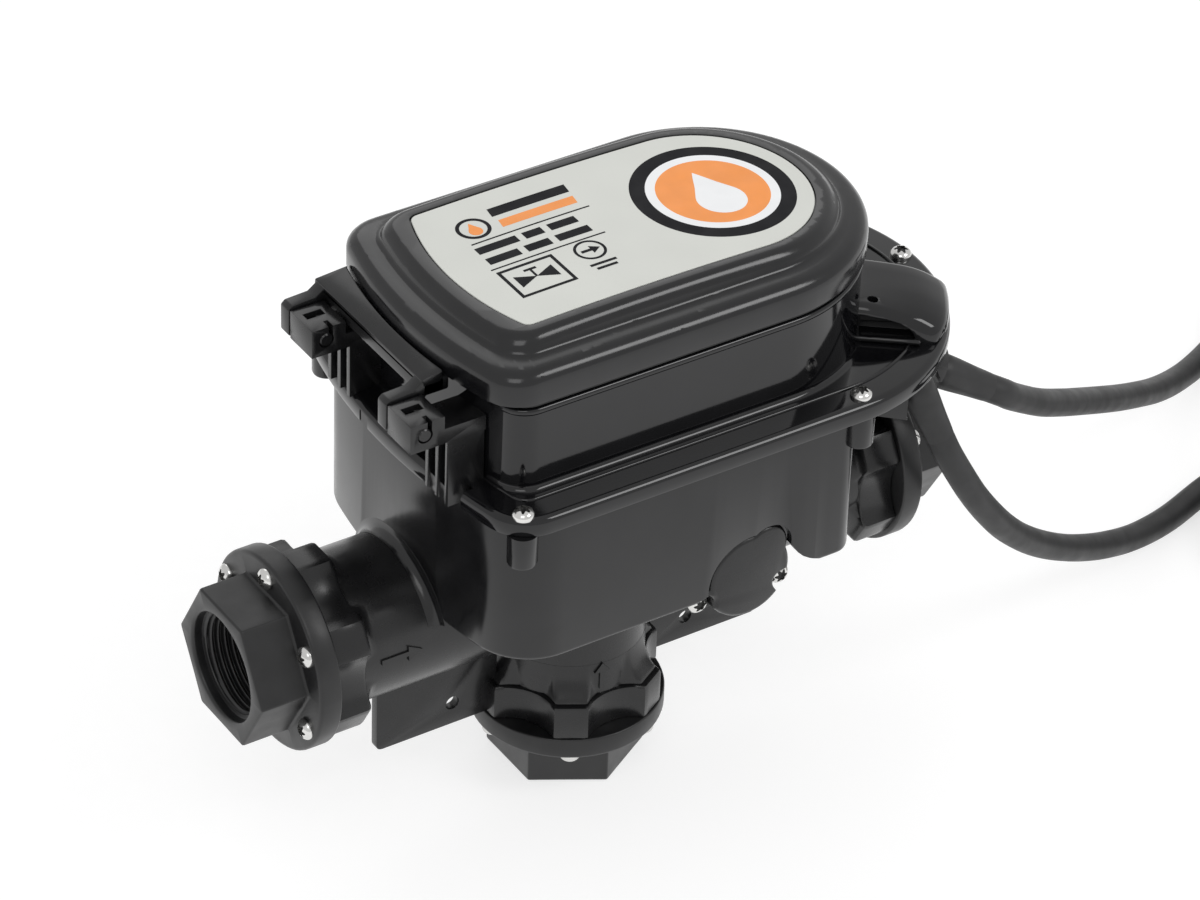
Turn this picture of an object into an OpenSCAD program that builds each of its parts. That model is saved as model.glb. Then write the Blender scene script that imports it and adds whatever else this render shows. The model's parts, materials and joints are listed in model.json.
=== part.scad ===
// Motorised diverter valve for water: mains and pump inlets, one outlet, control housing on top.
// Millimetres, +Z up. The origin is the centre of the pump port's bottom face.

/* [Ports] */
// Length from the mains face to the outlet face
run_len = 249.6; // [246:0.2:254]
// Height of the run axis above the pump port face
run_z = 77; // [76:0.5:79]
// Outer radius of the body tubes
tube_r = 24; // [23.5:0.25:24.5]
// Inner radius of the body tubes
bore_r = 20.2; // [20:0.1:20.5]
// Wall radius of the female one-inch pipe thread at its crests
thread_r = 15.15; // [15:0.05:15.3]
// Radius of the plain mouth in front of the thread
mouth_r = 17.3; // [17:0.1:17.6]
// Width of the port hexagon across its corners
hex_corners = 49.5; // [48:0.5:51]

/* [Housing] */
// Half width of the cover flange
flange_half = 61; // [60.5:0.25:61.5]
// Half width of the lower housing
tub_half = 57; // [56.5:0.25:57.5]
// Half width of the cover wall under the lid
wall_half = 47.3; // [47:0.1:47.5]
// Thickness of the housing walls
wall_t = 2.5; // [2:0.1:3]

/* [Lid] */
// Half width of the lid
lid_half = 48.5; // [48:0.25:49]
// Radius of the lid's hinge pins
pin_r = 2.2; // [2.1:0.05:2.25]
// Half width of the label plate
label_half = 32.7; // [30:0.1:33.5]

/* [Valve gear] */
// Radius of the diverter ball
ball_r = 18.5; // [18:0.1:18.7]
// Radius of the waterway through the ball
ball_port_r = 10; // [9:0.25:10.5]
// Module of the drive gear teeth
gear_module = 1.25; // [1.25]
// Teeth on the drive gear
gear_teeth = 40; // [40]
// Teeth on the motor pinion
pinion_teeth = 10; // [10]
// Opening travel of a check valve poppet
poppet_travel = 6; // [4:0.5:6]

/* [Cords] */
// Diameter of both cords
cord_d = 9; // [8.5:0.1:9.5]

/* [Hidden] */
$fn = 96;

slit = 0.05;                             // radial gap of pins, screws and shafts
mains_x = -99.7;                         // face of the body flange at the mains end
outlet_x = mains_x + run_len - 47;       // face of the body flange at the outlet end
pump_z = 23.5;                           // face of the body flange at the pump end
disc_t = 7.5;                            // union disc thickness
disc_r = 31.7;                           // union disc radius
hex_len = 16;                            // length of the port hexagon
spigot_len = 6.7;                        // union spigot inside the body
lobe_t = 12.2;                           // body flange thickness
screw_pcd_r = 27;                        // radius of the union screw circle
screw_r = 1.75;                          // screw shank radius
head_r = 3.4;                            // screw head radius
head_h = 2.4;                            // screw head height

branch_x = 27.5;                         // sensor branch, seen from the side
branch_z = 90;
branch_y = -52;                          // face of the sensor branch
cap_screws = [[11.4, 83.7], [40.8, 83.7]];
web_hole_x = 42.9;                       // mounting holes in the web
web_hole_z = 32.4;

tub_bottom = 86.5;
tub_top = 138.5;
floor_z = 108;
flange_z0 = 137;                         // skirt edge of the cover flange
flange_z1 = 143;                         // top of the cover flange
plate_z = 140;                           // underside of the flange plate
wall_top = 172;
flange_c = 63;                           // centre of the flange's round end
wall_c = 45;                             // centre of the lid's and cover wall's round end
flange_screws = [[-54, -56], [-54, 56], [65, -56], [65, 56], [119, 0]];
lid_z0 = 174;
board_z = 152;

pin_x = -74.5;                           // lid hinge axis
pin_z = 165.5;
near_block_y = -35;                      // hinge blocks, low edge along Y
far_block_y = 21;
block_w = 12.7;
hook_w = 4.7;
bar_y0 = -21.5;
bar_y1 = 40.5;

gear_r = gear_module * gear_teeth / 2;
pinion_r = gear_module * pinion_teeth / 2;
motor_x = -(gear_r + pinion_r);
gear_z = 118;

// The two cords leave the cable entry one beside the other, each from its own tapered relief.
supply_seat = [95.5, -41, 129.5];         // root of the supply cord's relief
supply_turn = [64, -46];                 // its pitch below level and its heading, degrees
pump_seat = [108, -34.3, 125];
pump_turn = [30, -15];
relief_len = 22;
supply_route = [[107.6, -51.2, 97], [113.9, -51.8, 86], [121.8, -50.7, 75], [132, -47.6, 63],
                [144.6, -43.3, 51], [159.3, -38, 39.5], [175.5, -31.9, 28.8],
                [192.8, -25.3, 19.3], [211, -18.2, 11.4], [231, -10.4, 6.2], [253, -2, 4.5],
                [269, 1.8, 4.5], [285.5, 1.6, 4.5], [302.1, -1.8, 4.5]];
pump_route = [[138, -38, 105.5], [154, -31, 93.5], [170.5, -22, 82], [187, -12, 70.5],
              [204, -2, 59], [220.5, 8.5, 47.5], [237, 19, 36.5], [253.5, 29.5, 26],
              [270, 40, 17], [287, 50.5, 10], [304, 60.5, 6], [321, 70.5, 4.5],
              [338.4, 80.7, 4.5]];
supply_coil_at = [291, -50];             // centres of the two stored coils
pump_coil_at = [363.5, 38];
coil_r = 45;                             // radius at the middle of the turns
coil_w = 2 * cord_d;                     // each coil is two turns wide and two high
coil_h = 2 * cord_d;
supply_end = 35;                         // where each coil lets go of its last turn, degrees
pump_end = 10;
end_z = 1.5 * cord_d;                    // height of the last turn and of the plug's axis

// ---------------------------------------------------------------- outlines

// Long rounded outline: shallow arc at the left, straight sides, half circle at the right
module plan(left, arc_r, corner_r, half, centre) {
    cx = left + arc_r - sqrt(pow(arc_r - corner_r, 2) - pow(half - corner_r, 2));
    intersection() {
        translate([left + arc_r, 0]) circle(arc_r, $fn = 360);
        translate([left - 1, corner_r - half]) square([cx - left + 1.5, 2 * (half - corner_r)]);
    }
    for (s = [-1, 1])
        translate([cx, s * (half - corner_r)]) circle(corner_r);
    translate([cx, -half]) square([centre - cx, 2 * half]);
    translate([centre, 0]) circle(half, $fn = 180);
}

// Lower housing outline: the same left end, a flat right end with rounded corners
module tub_plan(inset) {
    half = tub_half - inset;
    left = -63 + inset;
    arc_r = 215 - inset;
    corner_r = 20 - inset;
    right = 66 - inset;
    right_r = 7 - inset;
    cx = left + arc_r - sqrt(pow(arc_r - corner_r, 2) - pow(half - corner_r, 2));
    intersection() {
        translate([left + arc_r, 0]) circle(arc_r, $fn = 360);
        translate([left - 1, corner_r - half]) square([cx - left + 1.5, 2 * (half - corner_r)]);
    }
    for (s = [-1, 1]) {
        translate([cx, s * (half - corner_r)]) circle(corner_r);
        translate([right - right_r, s * (half - right_r)]) circle(right_r);
    }
    translate([cx, -half]) square([right - right_r - cx, 2 * half]);
    translate([cx, right_r - half]) square([right - cx, 2 * (half - right_r)]);
}

module flange_plan(inset) {
    plan(-67 + inset, 225 - inset, 15 - inset, flange_half - inset, flange_c);
}

module wall_plan(inset) {
    plan(-57.3 + inset, 160 - inset, 9 - inset, wall_half - inset, wall_c);
}

module lid_plan(inset) {
    plan(-62 + inset, 150 - inset, 13 - inset / 4, lid_half - inset, wall_c);
}

module label_plan(inset) {
    intersection() {
        translate([-45.3 + 90, 0]) circle(90 - inset, $fn = 360);
        translate([-60, -label_half + inset]) square([104, 2 * (label_half - inset)]);
    }
    translate([44, 0]) circle(label_half - inset, $fn = 180);
}

module ring(r_out, r_in, h) {
    difference() {
        cylinder(r = r_out, h = h);
        translate([0, 0, -1]) cylinder(r = r_in, h = h + 2);
    }
}

module o_ring(r, wire_r) {
    rotate_extrude() translate([r, 0]) circle(wire_r, $fn = 32);
}

// Places a part built along +Z, outward from a body flange, at each of the three ports
module at_mains() {
    translate([mains_x, 0, run_z]) rotate([0, -90, 0]) children();
}

module at_outlet() {
    translate([outlet_x, 0, run_z]) rotate([0, 90, 0]) children();
}

module at_pump() {
    translate([0, 0, pump_z]) rotate([180, 0, 0]) children();
}

module screw_circle() {
    for (k = [0:5])
        rotate([0, 0, 60 * k]) translate([screw_pcd_r, 0, 0]) children();
}

// Pan-head screw with its head on z = 0
module pan_screw(shank_len) {
    difference() {
        union() {
            cylinder(r = head_r, h = head_h - 0.8);
            translate([0, 0, head_h - 0.8]) cylinder(r1 = head_r, r2 = head_r - 0.9, h = 0.8);
        }
        for (a = [0, 60, 120])
            rotate([0, 0, a]) translate([-1.7, -0.45, head_h - 1.3]) cube([3.4, 0.9, 2]);
    }
    translate([0, 0, -shank_len]) cylinder(r = screw_r, h = shank_len, $fn = 32);
}

// ---------------------------------------------------------------- body and housings

// Six-lobed flange on the end of a body tube, behind z = 0
module lobed_flange() {
    translate([0, 0, -lobe_t]) difference() {
        linear_extrude(lobe_t) difference() {
            intersection() {
                circle(31.2);
                rotate([0, 0, 30]) circle(30.2 / cos(30), $fn = 6);
            }
            for (k = [0:5])
                rotate([0, 0, 30 + 60 * k]) translate([41.4, 0]) circle(16.4);
        }
        translate([0, 0, -1]) cylinder(r = bore_r, h = lobe_t + 2);
        screw_circle() translate([0, 0, 2]) cylinder(r = screw_r + slit, h = lobe_t, $fn = 32);
    }
}

module cap_plan(grow) {
    difference() {
        union() {
            translate([branch_x, branch_z]) circle(14.5 + grow);
            translate([branch_x + 6, branch_z + 8.5]) circle(7.5 + grow);
        }
        for (p = cap_screws)
            translate(p) circle(4.1 - grow);
    }
}

// Stands an XZ outline up between two values of Y
module standing(y0, y1) {
    translate([0, y1, 0]) rotate([90, 0, 0]) linear_extrude(y1 - y0) children();
}

module valve_body() {
    color([0.07, 0.07, 0.075]) {
        at_mains() lobed_flange();
        at_outlet() lobed_flange();
        at_pump() lobed_flange();
        difference() {
            union() {
                translate([mains_x, 0, run_z]) rotate([0, 90, 0])
                    cylinder(r = tube_r, h = outlet_x - mains_x);
                translate([0, 0, pump_z]) cylinder(r = tube_r, h = run_z - pump_z);
                translate([0, 0, run_z]) cylinder(r = 9, h = 35);
                translate([branch_x, 0, branch_z]) rotate([90, 0, 0])
                    cylinder(r = 12, h = -branch_y);
                standing(branch_y, branch_y + 5) {
                    translate([branch_x, branch_z]) circle(13.5);
                    for (p = cap_screws)
                        translate(p) circle(3.8);
                    translate([cap_screws[0][0], cap_screws[0][1] - 3.8]) square([29.4, 7.6]);
                }
                standing(-2.25, 2.25) for (s = [-1, 1])
                    translate([s * 50.5 - 19.5, 24.4]) square([39, 35]);
                for (s = [-1, 1])
                    translate([s * 36 - 4, -16, 90]) cube([8, 32, floor_z - 90]);
            }
            translate([mains_x - 1, 0, run_z]) rotate([0, 90, 0])
                cylinder(r = bore_r, h = outlet_x - mains_x + 2);
            translate([0, 0, pump_z - 1]) cylinder(r = bore_r, h = run_z - pump_z + 1);
            translate([0, 0, run_z]) cylinder(r = 5, h = 40);
            translate([0, 0, 109]) cylinder(r = 7.2, h = 10);
            translate([branch_x, -26, branch_z]) rotate([90, 0, 0]) cylinder(r = 9, h = 30);
            translate([branch_x, 0, branch_z]) rotate([90, 0, 0]) cylinder(r = 3, h = 30);
            for (p = cap_screws)
                translate([p[0], branch_y + 6, p[1]]) rotate([90, 0, 0])
                    cylinder(r = screw_r + slit, h = 10, $fn = 32);
            for (s = [-1, 1])
                translate([s * web_hole_x, 5, web_hole_z]) rotate([90, 0, 0])
                    cylinder(r = 2.25, h = 10, $fn = 48);
            for (s = [-1, 1], t = [-1, 1])
                translate([s * 36, t * 12, 98]) cylinder(r = screw_r + slit, h = 12, $fn = 32);
        }
    }
}

module lower_housing() {
    color([0.03, 0.03, 0.035]) difference() {
        union() {
            difference() {
                translate([0, 0, tub_bottom]) linear_extrude(tub_top - tub_bottom) tub_plan(0);
                translate([0, 0, floor_z + wall_t]) linear_extrude(60) tub_plan(wall_t);
                translate([0, 0, tub_bottom - 1]) linear_extrude(floor_z - tub_bottom + 1)
                    tub_plan(wall_t);
            }
            for (k = [0:3])
                translate([flange_screws[k][0], flange_screws[k][1], 124])
                    cylinder(r = 5, h = flange_z0 - 124);
        }
        for (k = [0:3])
            translate([flange_screws[k][0], flange_screws[k][1], flange_z0])
                cylinder(r = 5.1, h = 5);
        translate([-80, 0, run_z]) rotate([0, 90, 0]) cylinder(r = tube_r + 0.3, h = 160);
        translate([0, 0, floor_z - 1]) cylinder(r = 9.3, h = 5);
        for (s = [-1, 1], t = [-1, 1])
            translate([s * 36, t * 12, floor_z - 1]) cylinder(r = screw_r + slit, h = 5, $fn = 32);
        for (k = [0:3])
            translate([flange_screws[k][0], flange_screws[k][1], 126])
                cylinder(r = screw_r + slit, h = 20, $fn = 32);
        standing(-tub_half - 2, -tub_half + wall_t + 1) {
            translate([branch_x, branch_z]) circle(15.3);
            translate([branch_x + 6, branch_z + 8.5]) circle(8.3);
            translate([11.5, tub_bottom - 5]) square([36, 7]);
            translate([38, tub_bottom - 2]) square([7.5, 10.5]);
            translate([cap_screws[0][0], cap_screws[0][1]]) circle(4.4);
        }
    }
}

module hinge_block(y0) {
    difference() {
        union() {
            translate([pin_x - 5, y0, pin_z - 5]) cube([9.5, block_w, 9.5]);
            translate([pin_x + 4, y0, pin_z - 4.5]) cube([17, block_w, 6.5]);
            for (y = [y0, y0 + 4.4, y0 + block_w - 3])
                translate([-66, y, flange_z1 - 1]) cube([12.5, 3, pin_z - flange_z1]);
        }
        translate([pin_x, y0 - 1, pin_z]) rotate([-90, 0, 0])
            cylinder(r = pin_r + slit, h = block_w + 2, $fn = 48);
        translate([pin_x - 0.9, y0 - 1, pin_z]) cube([1.8, 5, 6]);
        translate([pin_x - 2.6, y0 + 6.5, pin_z + 2.8]) cube([5.2, 3.2, 3]);
    }
}

module cover_frame() {
    color([0.02, 0.02, 0.022]) {
        difference() {
            union() {
                translate([0, 0, flange_z0]) linear_extrude(flange_z1 - flange_z0) flange_plan(0);
                translate([0, 0, flange_z1]) linear_extrude(0.8) difference() {
                    flange_plan(9.4);
                    flange_plan(10.4);
                }
                translate([0, 0, flange_z1]) linear_extrude(wall_top - flange_z1) wall_plan(0);
                // raised cable hump on the near right of the flange
                intersection() {
                    translate([flange_c, 0, flange_z1 - 1]) rotate([0, 0, -38])
                        translate([0, 14, 0]) rotate([90, 0, 0]) linear_extrude(28)
                            polygon([[22, 0], [60, 0], [60, 7], [49, 12], [22, 13.5]]);
                    translate([0, 0, flange_z1 - 1]) linear_extrude(20) flange_plan(0.6);
                }
            }
            translate([0, 0, flange_z0 - 1]) linear_extrude(plate_z - flange_z0 + 1) difference() {
                flange_plan(2.5);
                for (p = flange_screws)
                    translate(p) circle(5);
            }
            translate([0, 0, flange_z0 - 1]) linear_extrude(60) wall_plan(wall_t);
            for (p = flange_screws)
                translate([p[0], p[1], flange_z0 - 1]) cylinder(r = screw_r + slit, h = 8, $fn = 32);
        }
        difference() {
            translate([0, 0, board_z - 2.5]) linear_extrude(2.5) wall_plan(wall_t - 0.5);
            translate([0, 0, board_z - 5]) linear_extrude(6) wall_plan(wall_t + 3);
        }
        hinge_block(near_block_y);
        hinge_block(far_block_y);
    }
}

module cover_gasket() {
    color([0.12, 0.12, 0.12]) translate([0, 0, tub_top]) linear_extrude(plate_z - tub_top)
        difference() {
            tub_plan(0.3);
            tub_plan(wall_t - 0.3);
            for (p = flange_screws)
                translate(p) circle(5.4);
        }
}

// ---------------------------------------------------------------- lid

module lid() {
    color([0.02, 0.02, 0.022]) difference() {
        union() {
            translate([0, 0, lid_z0]) linear_extrude(7) lid_plan(0);
            translate([0, 0, lid_z0 + 7]) linear_extrude(2) lid_plan(1.2);
            translate([0, 0, lid_z0 + 9]) linear_extrude(1.5) lid_plan(3.4);
            translate([0, 0, lid_z0 + 10.5]) linear_extrude(4) lid_plan(9.5);
            translate([0, 0, lid_z0 + 14.5]) linear_extrude(1.7) lid_plan(10.8);
            translate([0, 0, lid_z0 + 16.2]) linear_extrude(1) lid_plan(13);
        }
        translate([0, 0, lid_z0 - 1]) linear_extrude(7.5) wall_plan(2.8);
        translate([0, 0, lid_z0 - 1]) linear_extrude(14.5) lid_plan(12.5);
        translate([0, 0, lid_z0 + 16.4]) linear_extrude(2) label_plan(-0.3);
    }
}

module lid_seal() {
    color([0.15, 0.15, 0.16]) translate([0, 0, wall_top + 0.4]) linear_extrude(lid_z0 - wall_top - 0.4)
        difference() {
            wall_plan(0.4);
            wall_plan(2.2);
        }
}

module label() {
    color([0.83, 0.83, 0.8]) translate([0, 0, lid_z0 + 16.4]) linear_extrude(0.7) label_plan(0);
}

module hinge_hook(y0) {
    difference() {
        standing(y0, y0 + hook_w) {
            translate([pin_x, pin_z]) circle(5.2);
            polygon([[pin_x - 2, pin_z + 4.5], [pin_x + 4.7, pin_z - 2], [-64, 169], [-64, 173.5],
                     [-69, 173.5]]);
        }
        translate([pin_x, y0 - 1, pin_z]) rotate([-90, 0, 0])
            cylinder(r = pin_r + 0.08, h = hook_w + 2, $fn = 48);
    }
}

module hinge_bar() {
    color([0.02, 0.02, 0.022]) {
        translate([-67.5, bar_y0, 168.2]) cube([9.2, bar_y1 - bar_y0, 5.8]);
        hinge_hook(near_block_y + block_w + 0.8);
        hinge_hook(far_block_y + block_w + 0.8);
    }
}

module hinge_pins() {
    color([0.08, 0.08, 0.08]) {
        translate([pin_x, near_block_y, pin_z]) rotate([-90, 0, 0])
            cylinder(r = pin_r, h = block_w + hook_w + 1, $fn = 48);
        translate([pin_x, far_block_y - 4, pin_z]) rotate([-90, 0, 0])
            cylinder(r = pin_r, h = block_w + hook_w + 5, $fn = 48);
    }
}

module cover_screws() {
    color([0.75, 0.75, 0.77]) for (p = flange_screws)
        translate([p[0], p[1], flange_z1]) pan_screw(12);
}

module housing_screws() {
    color([0.75, 0.75, 0.77]) for (s = [-1, 1], t = [-1, 1])
        translate([s * 36, t * 12, floor_z + wall_t]) pan_screw(9);
}

// ---------------------------------------------------------------- unions

// Screwed-on port: spigot, disc and hexagon with a female pipe thread, outward along +Z
module port_union(r_disc) {
    difference() {
        union() {
            translate([0, 0, -spigot_len]) cylinder(r = bore_r - 0.1, h = spigot_len);
            cylinder(r = r_disc, h = disc_t);
            translate([0, 0, disc_t]) rotate([0, 0, 30])
                cylinder(r = hex_corners / 2, h = hex_len, $fn = 6);
        }
        translate([0, 0, -spigot_len - 1]) cylinder(r = 12.5, h = 40);
        translate([0, 0, 4]) cylinder(r = thread_r, h = 30);
        translate([0, 0, disc_t + hex_len - 3.5]) cylinder(r = mouth_r, h = 5);
        rotate_extrude() translate([bore_r - 2, -4.5]) square([3, 2]);
        screw_circle() translate([0, 0, -1])
            cylinder(r = screw_r + slit, h = disc_t + 2, $fn = 32);
    }
}

module mains_union() {
    color([0.07, 0.07, 0.075]) at_mains() port_union(disc_r);
}

module pump_union() {
    color([0.07, 0.07, 0.075]) at_pump() port_union(disc_r - 1);
}

module outlet_union() {
    color([0.07, 0.07, 0.075]) at_outlet() port_union(disc_r);
}

module union_seals() {
    color([0.1, 0.1, 0.1]) {
        at_mains() translate([0, 0, -3.5]) o_ring(bore_r - 1, 0.95);
        at_outlet() translate([0, 0, -3.5]) o_ring(bore_r - 1, 0.95);
        at_pump() translate([0, 0, -3.5]) o_ring(bore_r - 1, 0.95);
    }
}

module union_screws() {
    color([0.75, 0.75, 0.77]) {
        at_mains() screw_circle() translate([0, 0, disc_t]) pan_screw(15);
        at_outlet() screw_circle() translate([0, 0, disc_t]) pan_screw(15);
        at_pump() screw_circle() translate([0, 0, disc_t]) pan_screw(15);
    }
}

// ---------------------------------------------------------------- sensor branch

module side_cap() {
    color([0.07, 0.07, 0.075]) {
        standing(branch_y - 4.6, branch_y) cap_plan(0);
        translate([branch_x, branch_y, branch_z]) rotate([-90, 0, 0]) cylinder(r = 8.8, h = 4);
    }
}

module side_cap_seal() {
    color([0.1, 0.1, 0.1]) translate([branch_x, branch_y + 5, branch_z]) rotate([-90, 0, 0])
        o_ring(7.9, 0.95);
}

module side_cap_screws() {
    color([0.75, 0.75, 0.77]) for (p = cap_screws)
        translate([p[0], branch_y, p[1]]) rotate([90, 0, 0]) pan_screw(4.8);
}

module pressure_sensor() {
    color([0.6, 0.6, 0.62]) translate([branch_x, -44.5, branch_z]) rotate([-90, 0, 0]) {
        cylinder(r = 8.6, h = 6);
        translate([0, 0, 6]) cylinder(r = 6, h = 8);
    }
}

// ---------------------------------------------------------------- diverter ball and drive

module diverter_ball() {
    color([0.78, 0.78, 0.8]) translate([0, 0, run_z]) difference() {
        sphere(ball_r);
        translate([-30, 0, 0]) rotate([0, 90, 0]) cylinder(r = ball_port_r, h = 60);
        rotate([-90, 0, 0]) cylinder(r = ball_port_r, h = 30);
        translate([0, 0, -30]) cylinder(r = ball_port_r, h = 30);
        translate([-7.4, -2.6, 14.6]) cube([14.8, 5.2, 6]);
    }
}

module ball_seats() {
    color([0.92, 0.92, 0.9]) for (s = [0, 180])
        translate([0, 0, run_z]) rotate([0, 0, s]) rotate([0, 90, 0]) rotate_extrude()
            polygon([[10.5, 15.85], [14.8, 12], [bore_r - slit, 12], [bore_r - slit, 22], [10.5, 22]]);
}

module valve_stem() {
    color([0.7, 0.7, 0.72]) {
        translate([-7.2, -2.5, run_z + 14.7]) cube([14.4, 5, 3.9]);
        translate([0, 0, run_z + 18.55]) cylinder(r = 5 - slit, h = gear_z + 8 - run_z - 18.55);
    }
}

module stem_seal() {
    color([0.1, 0.1, 0.1]) translate([0, 0, 110.2]) o_ring(6.1, 1.05);
}

// Straight-sided spur gear, low and slim teeth for a free mesh
module spur_plan(teeth) {
    pitch = gear_module * teeth / 2;
    root = pitch - 1.2 * gear_module;
    tip = pitch + 0.75 * gear_module;
    circle(root, $fn = 4 * teeth);
    for (k = [0:teeth - 1])
        rotate([0, 0, k * 360 / teeth])
            polygon([[root - 0.4, -1.15], [tip, -0.42], [tip, 0.42], [root - 0.4, 1.15]]);
}

module drive_gear() {
    color([0.9, 0.9, 0.86]) translate([0, 0, gear_z]) difference() {
        linear_extrude(5) spur_plan(gear_teeth);
        translate([0, 0, -1]) cylinder(r = 5, h = 8);
        for (k = [0:4])
            rotate([0, 0, 72 * k]) translate([14, 0, -1]) cylinder(r = 4.2, h = 8);
    }
}

module motor_pinion() {
    color([0.75, 0.6, 0.3]) translate([motor_x, 0, gear_z - 0.5]) {
        linear_extrude(6) rotate([0, 0, 180 / pinion_teeth]) spur_plan(pinion_teeth);
        cylinder(r = 2, h = 12);
    }
}

module gear_motor() {
    color([0.7, 0.7, 0.72]) translate([motor_x, 0, gear_z + 9.6]) difference() {
        union() {
            cylinder(r = 13, h = 9);
            translate([0, 0, 9]) cylinder(r = 10, h = 12);
        }
        translate([0, 0, -1]) cylinder(r = 2.3, h = 4);
    }
}

module motor_bracket() {
    color([0.72, 0.72, 0.74]) difference() {
        union() {
            translate([-53, -27, gear_z + 7.6]) cube([41, 54, 2]);
            for (s = [-1, 1]) {
                translate([-49, s * 20, floor_z + wall_t]) cylinder(r = 3, h = 15.1, $fn = 32);
                translate([-24, s * 23, floor_z + wall_t]) cylinder(r = 3, h = 15.1, $fn = 32);
            }
        }
        translate([motor_x, 0, gear_z + 6]) cylinder(r = 5, h = 6);
    }
}

// ---------------------------------------------------------------- check valves

// A check valve is built along its flow, +Z, from the end of the union's spigot
module check_seat() {
    ring(bore_r - slit, 11, 6);
}

module check_poppet() {
    translate([0, 0, 6.3]) cylinder(r = 14, h = 3);
    translate([0, 0, 2.5]) cylinder(r1 = 8, r2 = 10, h = 3.8);
    translate([0, 0, 9.3]) cylinder(r = 2.5, h = 12);
}

module check_guide() {
    difference() {
        union() {
            translate([0, 0, 22.3]) ring(bore_r - slit, 17, 4);
            translate([0, 0, 12.3 + poppet_travel]) cylinder(r = 5, h = 14 - poppet_travel);
            for (k = [0:2])
                rotate([0, 0, 30 + 120 * k]) translate([3, -1.5, 22.3]) cube([15, 3, 4]);
        }
        translate([0, 0, 15]) cylinder(r = 2.56, h = 14);
    }
}

// Sweeps a polygon section of the given radius and sides along a list of points
function unit(v) = v / norm(v);
function along(p, i) = unit(p[min(i + 1, len(p) - 1)] - p[max(i - 1, 0)]);
function side_of(t) = unit(cross(t, abs(t[2]) < 0.8 ? [0, 0, 1] : [0.6, 0.8, 0]));
function turned(u, t) = unit(u - t * (u * t));
function frames(p, i, u) = i == len(p) ? [] :
    let (v = turned(u, along(p, i))) concat([v], frames(p, i + 1, v));

module sweep_tube(p, r, sides) {
    n = len(p);
    us = frames(p, 0, side_of(along(p, 0)));
    points = [for (i = [0:n - 1]) for (k = [0:sides - 1])
        p[i] + r * (cos(360 * k / sides) * us[i]
                    + sin(360 * k / sides) * cross(along(p, i), us[i]))];
    sides_faces = [for (i = [0:n - 2]) for (k = [0:sides - 1])
        [i * sides + k, i * sides + (k + 1) % sides, (i + 1) * sides + (k + 1) % sides,
         (i + 1) * sides + k]];
    start_face = [for (k = [0:sides - 1]) sides - 1 - k];
    end_face = [for (k = [0:sides - 1]) (n - 1) * sides + k];
    polyhedron(points, concat(sides_faces, [start_face, end_face]), convexity = 10);
}

module check_spring() {
    turns = 4;
    steps = 10;
    sweep_tube([for (i = [0:turns * steps])
                    [6 * cos(360 * i / steps), 6 * sin(360 * i / steps),
                     10 + 11.6 * i / (turns * steps)]], 0.5, 6);
}

module in_mains() {
    translate([mains_x + spigot_len, 0, run_z]) rotate([0, 90, 0]) children();
}

module in_pump() {
    translate([0, 0, pump_z + spigot_len]) children();
}

module mains_check_seat() {
    color([0.9, 0.9, 0.88]) in_mains() check_seat();
}

module mains_check_poppet() {
    color([0.85, 0.35, 0.2]) in_mains() check_poppet();
}

module mains_check_spring() {
    color([0.8, 0.8, 0.82]) in_mains() check_spring();
}

module mains_check_guide() {
    color([0.9, 0.9, 0.88]) in_mains() check_guide();
}

module pump_check_seat() {
    color([0.9, 0.9, 0.88]) in_pump() check_seat();
}

module pump_check_poppet() {
    color([0.85, 0.35, 0.2]) in_pump() check_poppet();
}

module pump_check_spring() {
    color([0.8, 0.8, 0.82]) in_pump() check_spring();
}

module pump_check_guide() {
    color([0.9, 0.9, 0.88]) in_pump() check_guide();
}

// ---------------------------------------------------------------- flow turbine

turbine_x = 62;

module turbine_carrier() {
    color([0.9, 0.9, 0.88]) translate([turbine_x, 0, run_z]) rotate([0, 90, 0]) {
        for (z = [-9, 7]) {
            translate([0, 0, z]) ring(bore_r - slit, 17, 4);
            translate([0, 0, z]) cylinder(r = 3, h = 4, $fn = 48);
            for (k = [0:2])
                rotate([0, 0, 120 * k + 90]) translate([2, -1, z + 0.3]) cube([16, 2, 3.4]);
        }
        translate([0, 0, -8]) cylinder(r = 1.5, h = 18, $fn = 48);
    }
}

module flow_turbine() {
    color([0.2, 0.35, 0.6]) translate([turbine_x, 0, run_z]) rotate([0, 90, 0]) difference() {
        union() {
            translate([0, 0, -4]) cylinder(r = 4.5, h = 10);
            intersection() {
                translate([0, 0, -4]) cylinder(r = 15.5, h = 10);
                for (k = [0:4])
                    rotate([0, 0, 72 * k]) rotate([38, 0, 0])
                        translate([3, -1, -12]) cube([14, 2, 24]);
            }
        }
        translate([0, 0, -10]) cylinder(r = 1.56, h = 20, $fn = 48);
    }
}

// ---------------------------------------------------------------- electronics

module control_board() {
    color([0.05, 0.3, 0.15]) translate([0, 0, board_z]) linear_extrude(1.6) difference() {
        wall_plan(wall_t + 0.6);
        for (p = [[-46, -36], [-46, 36], [40, -41], [40, 41]])
            translate(p) circle(1.7, $fn = 32);
    }
}

module transformer() {
    color([0.15, 0.15, 0.16]) translate([-40, 4, board_z + 1.6]) cube([32, 27, 17]);
}

module relays() {
    color([0.1, 0.25, 0.5]) for (k = [0:1])
        translate([-2 + 22 * k, 12, board_z + 1.6]) cube([19, 15.5, 15]);
}

module terminal_block() {
    color([0.15, 0.45, 0.2]) difference() {
        translate([-38, -38, board_z + 1.6]) cube([60, 11, 13]);
        for (k = [0:5])
            translate([-33 + 10 * k, -31, board_z + 8]) cylinder(r = 2.2, h = 10, $fn = 32);
    }
}

// ---------------------------------------------------------------- cords

// Aims +Z along a direction given as [pitch below level, heading]
module aimed(turn) {
    rotate([0, 90 + turn[0], turn[1]]) children();
}

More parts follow.
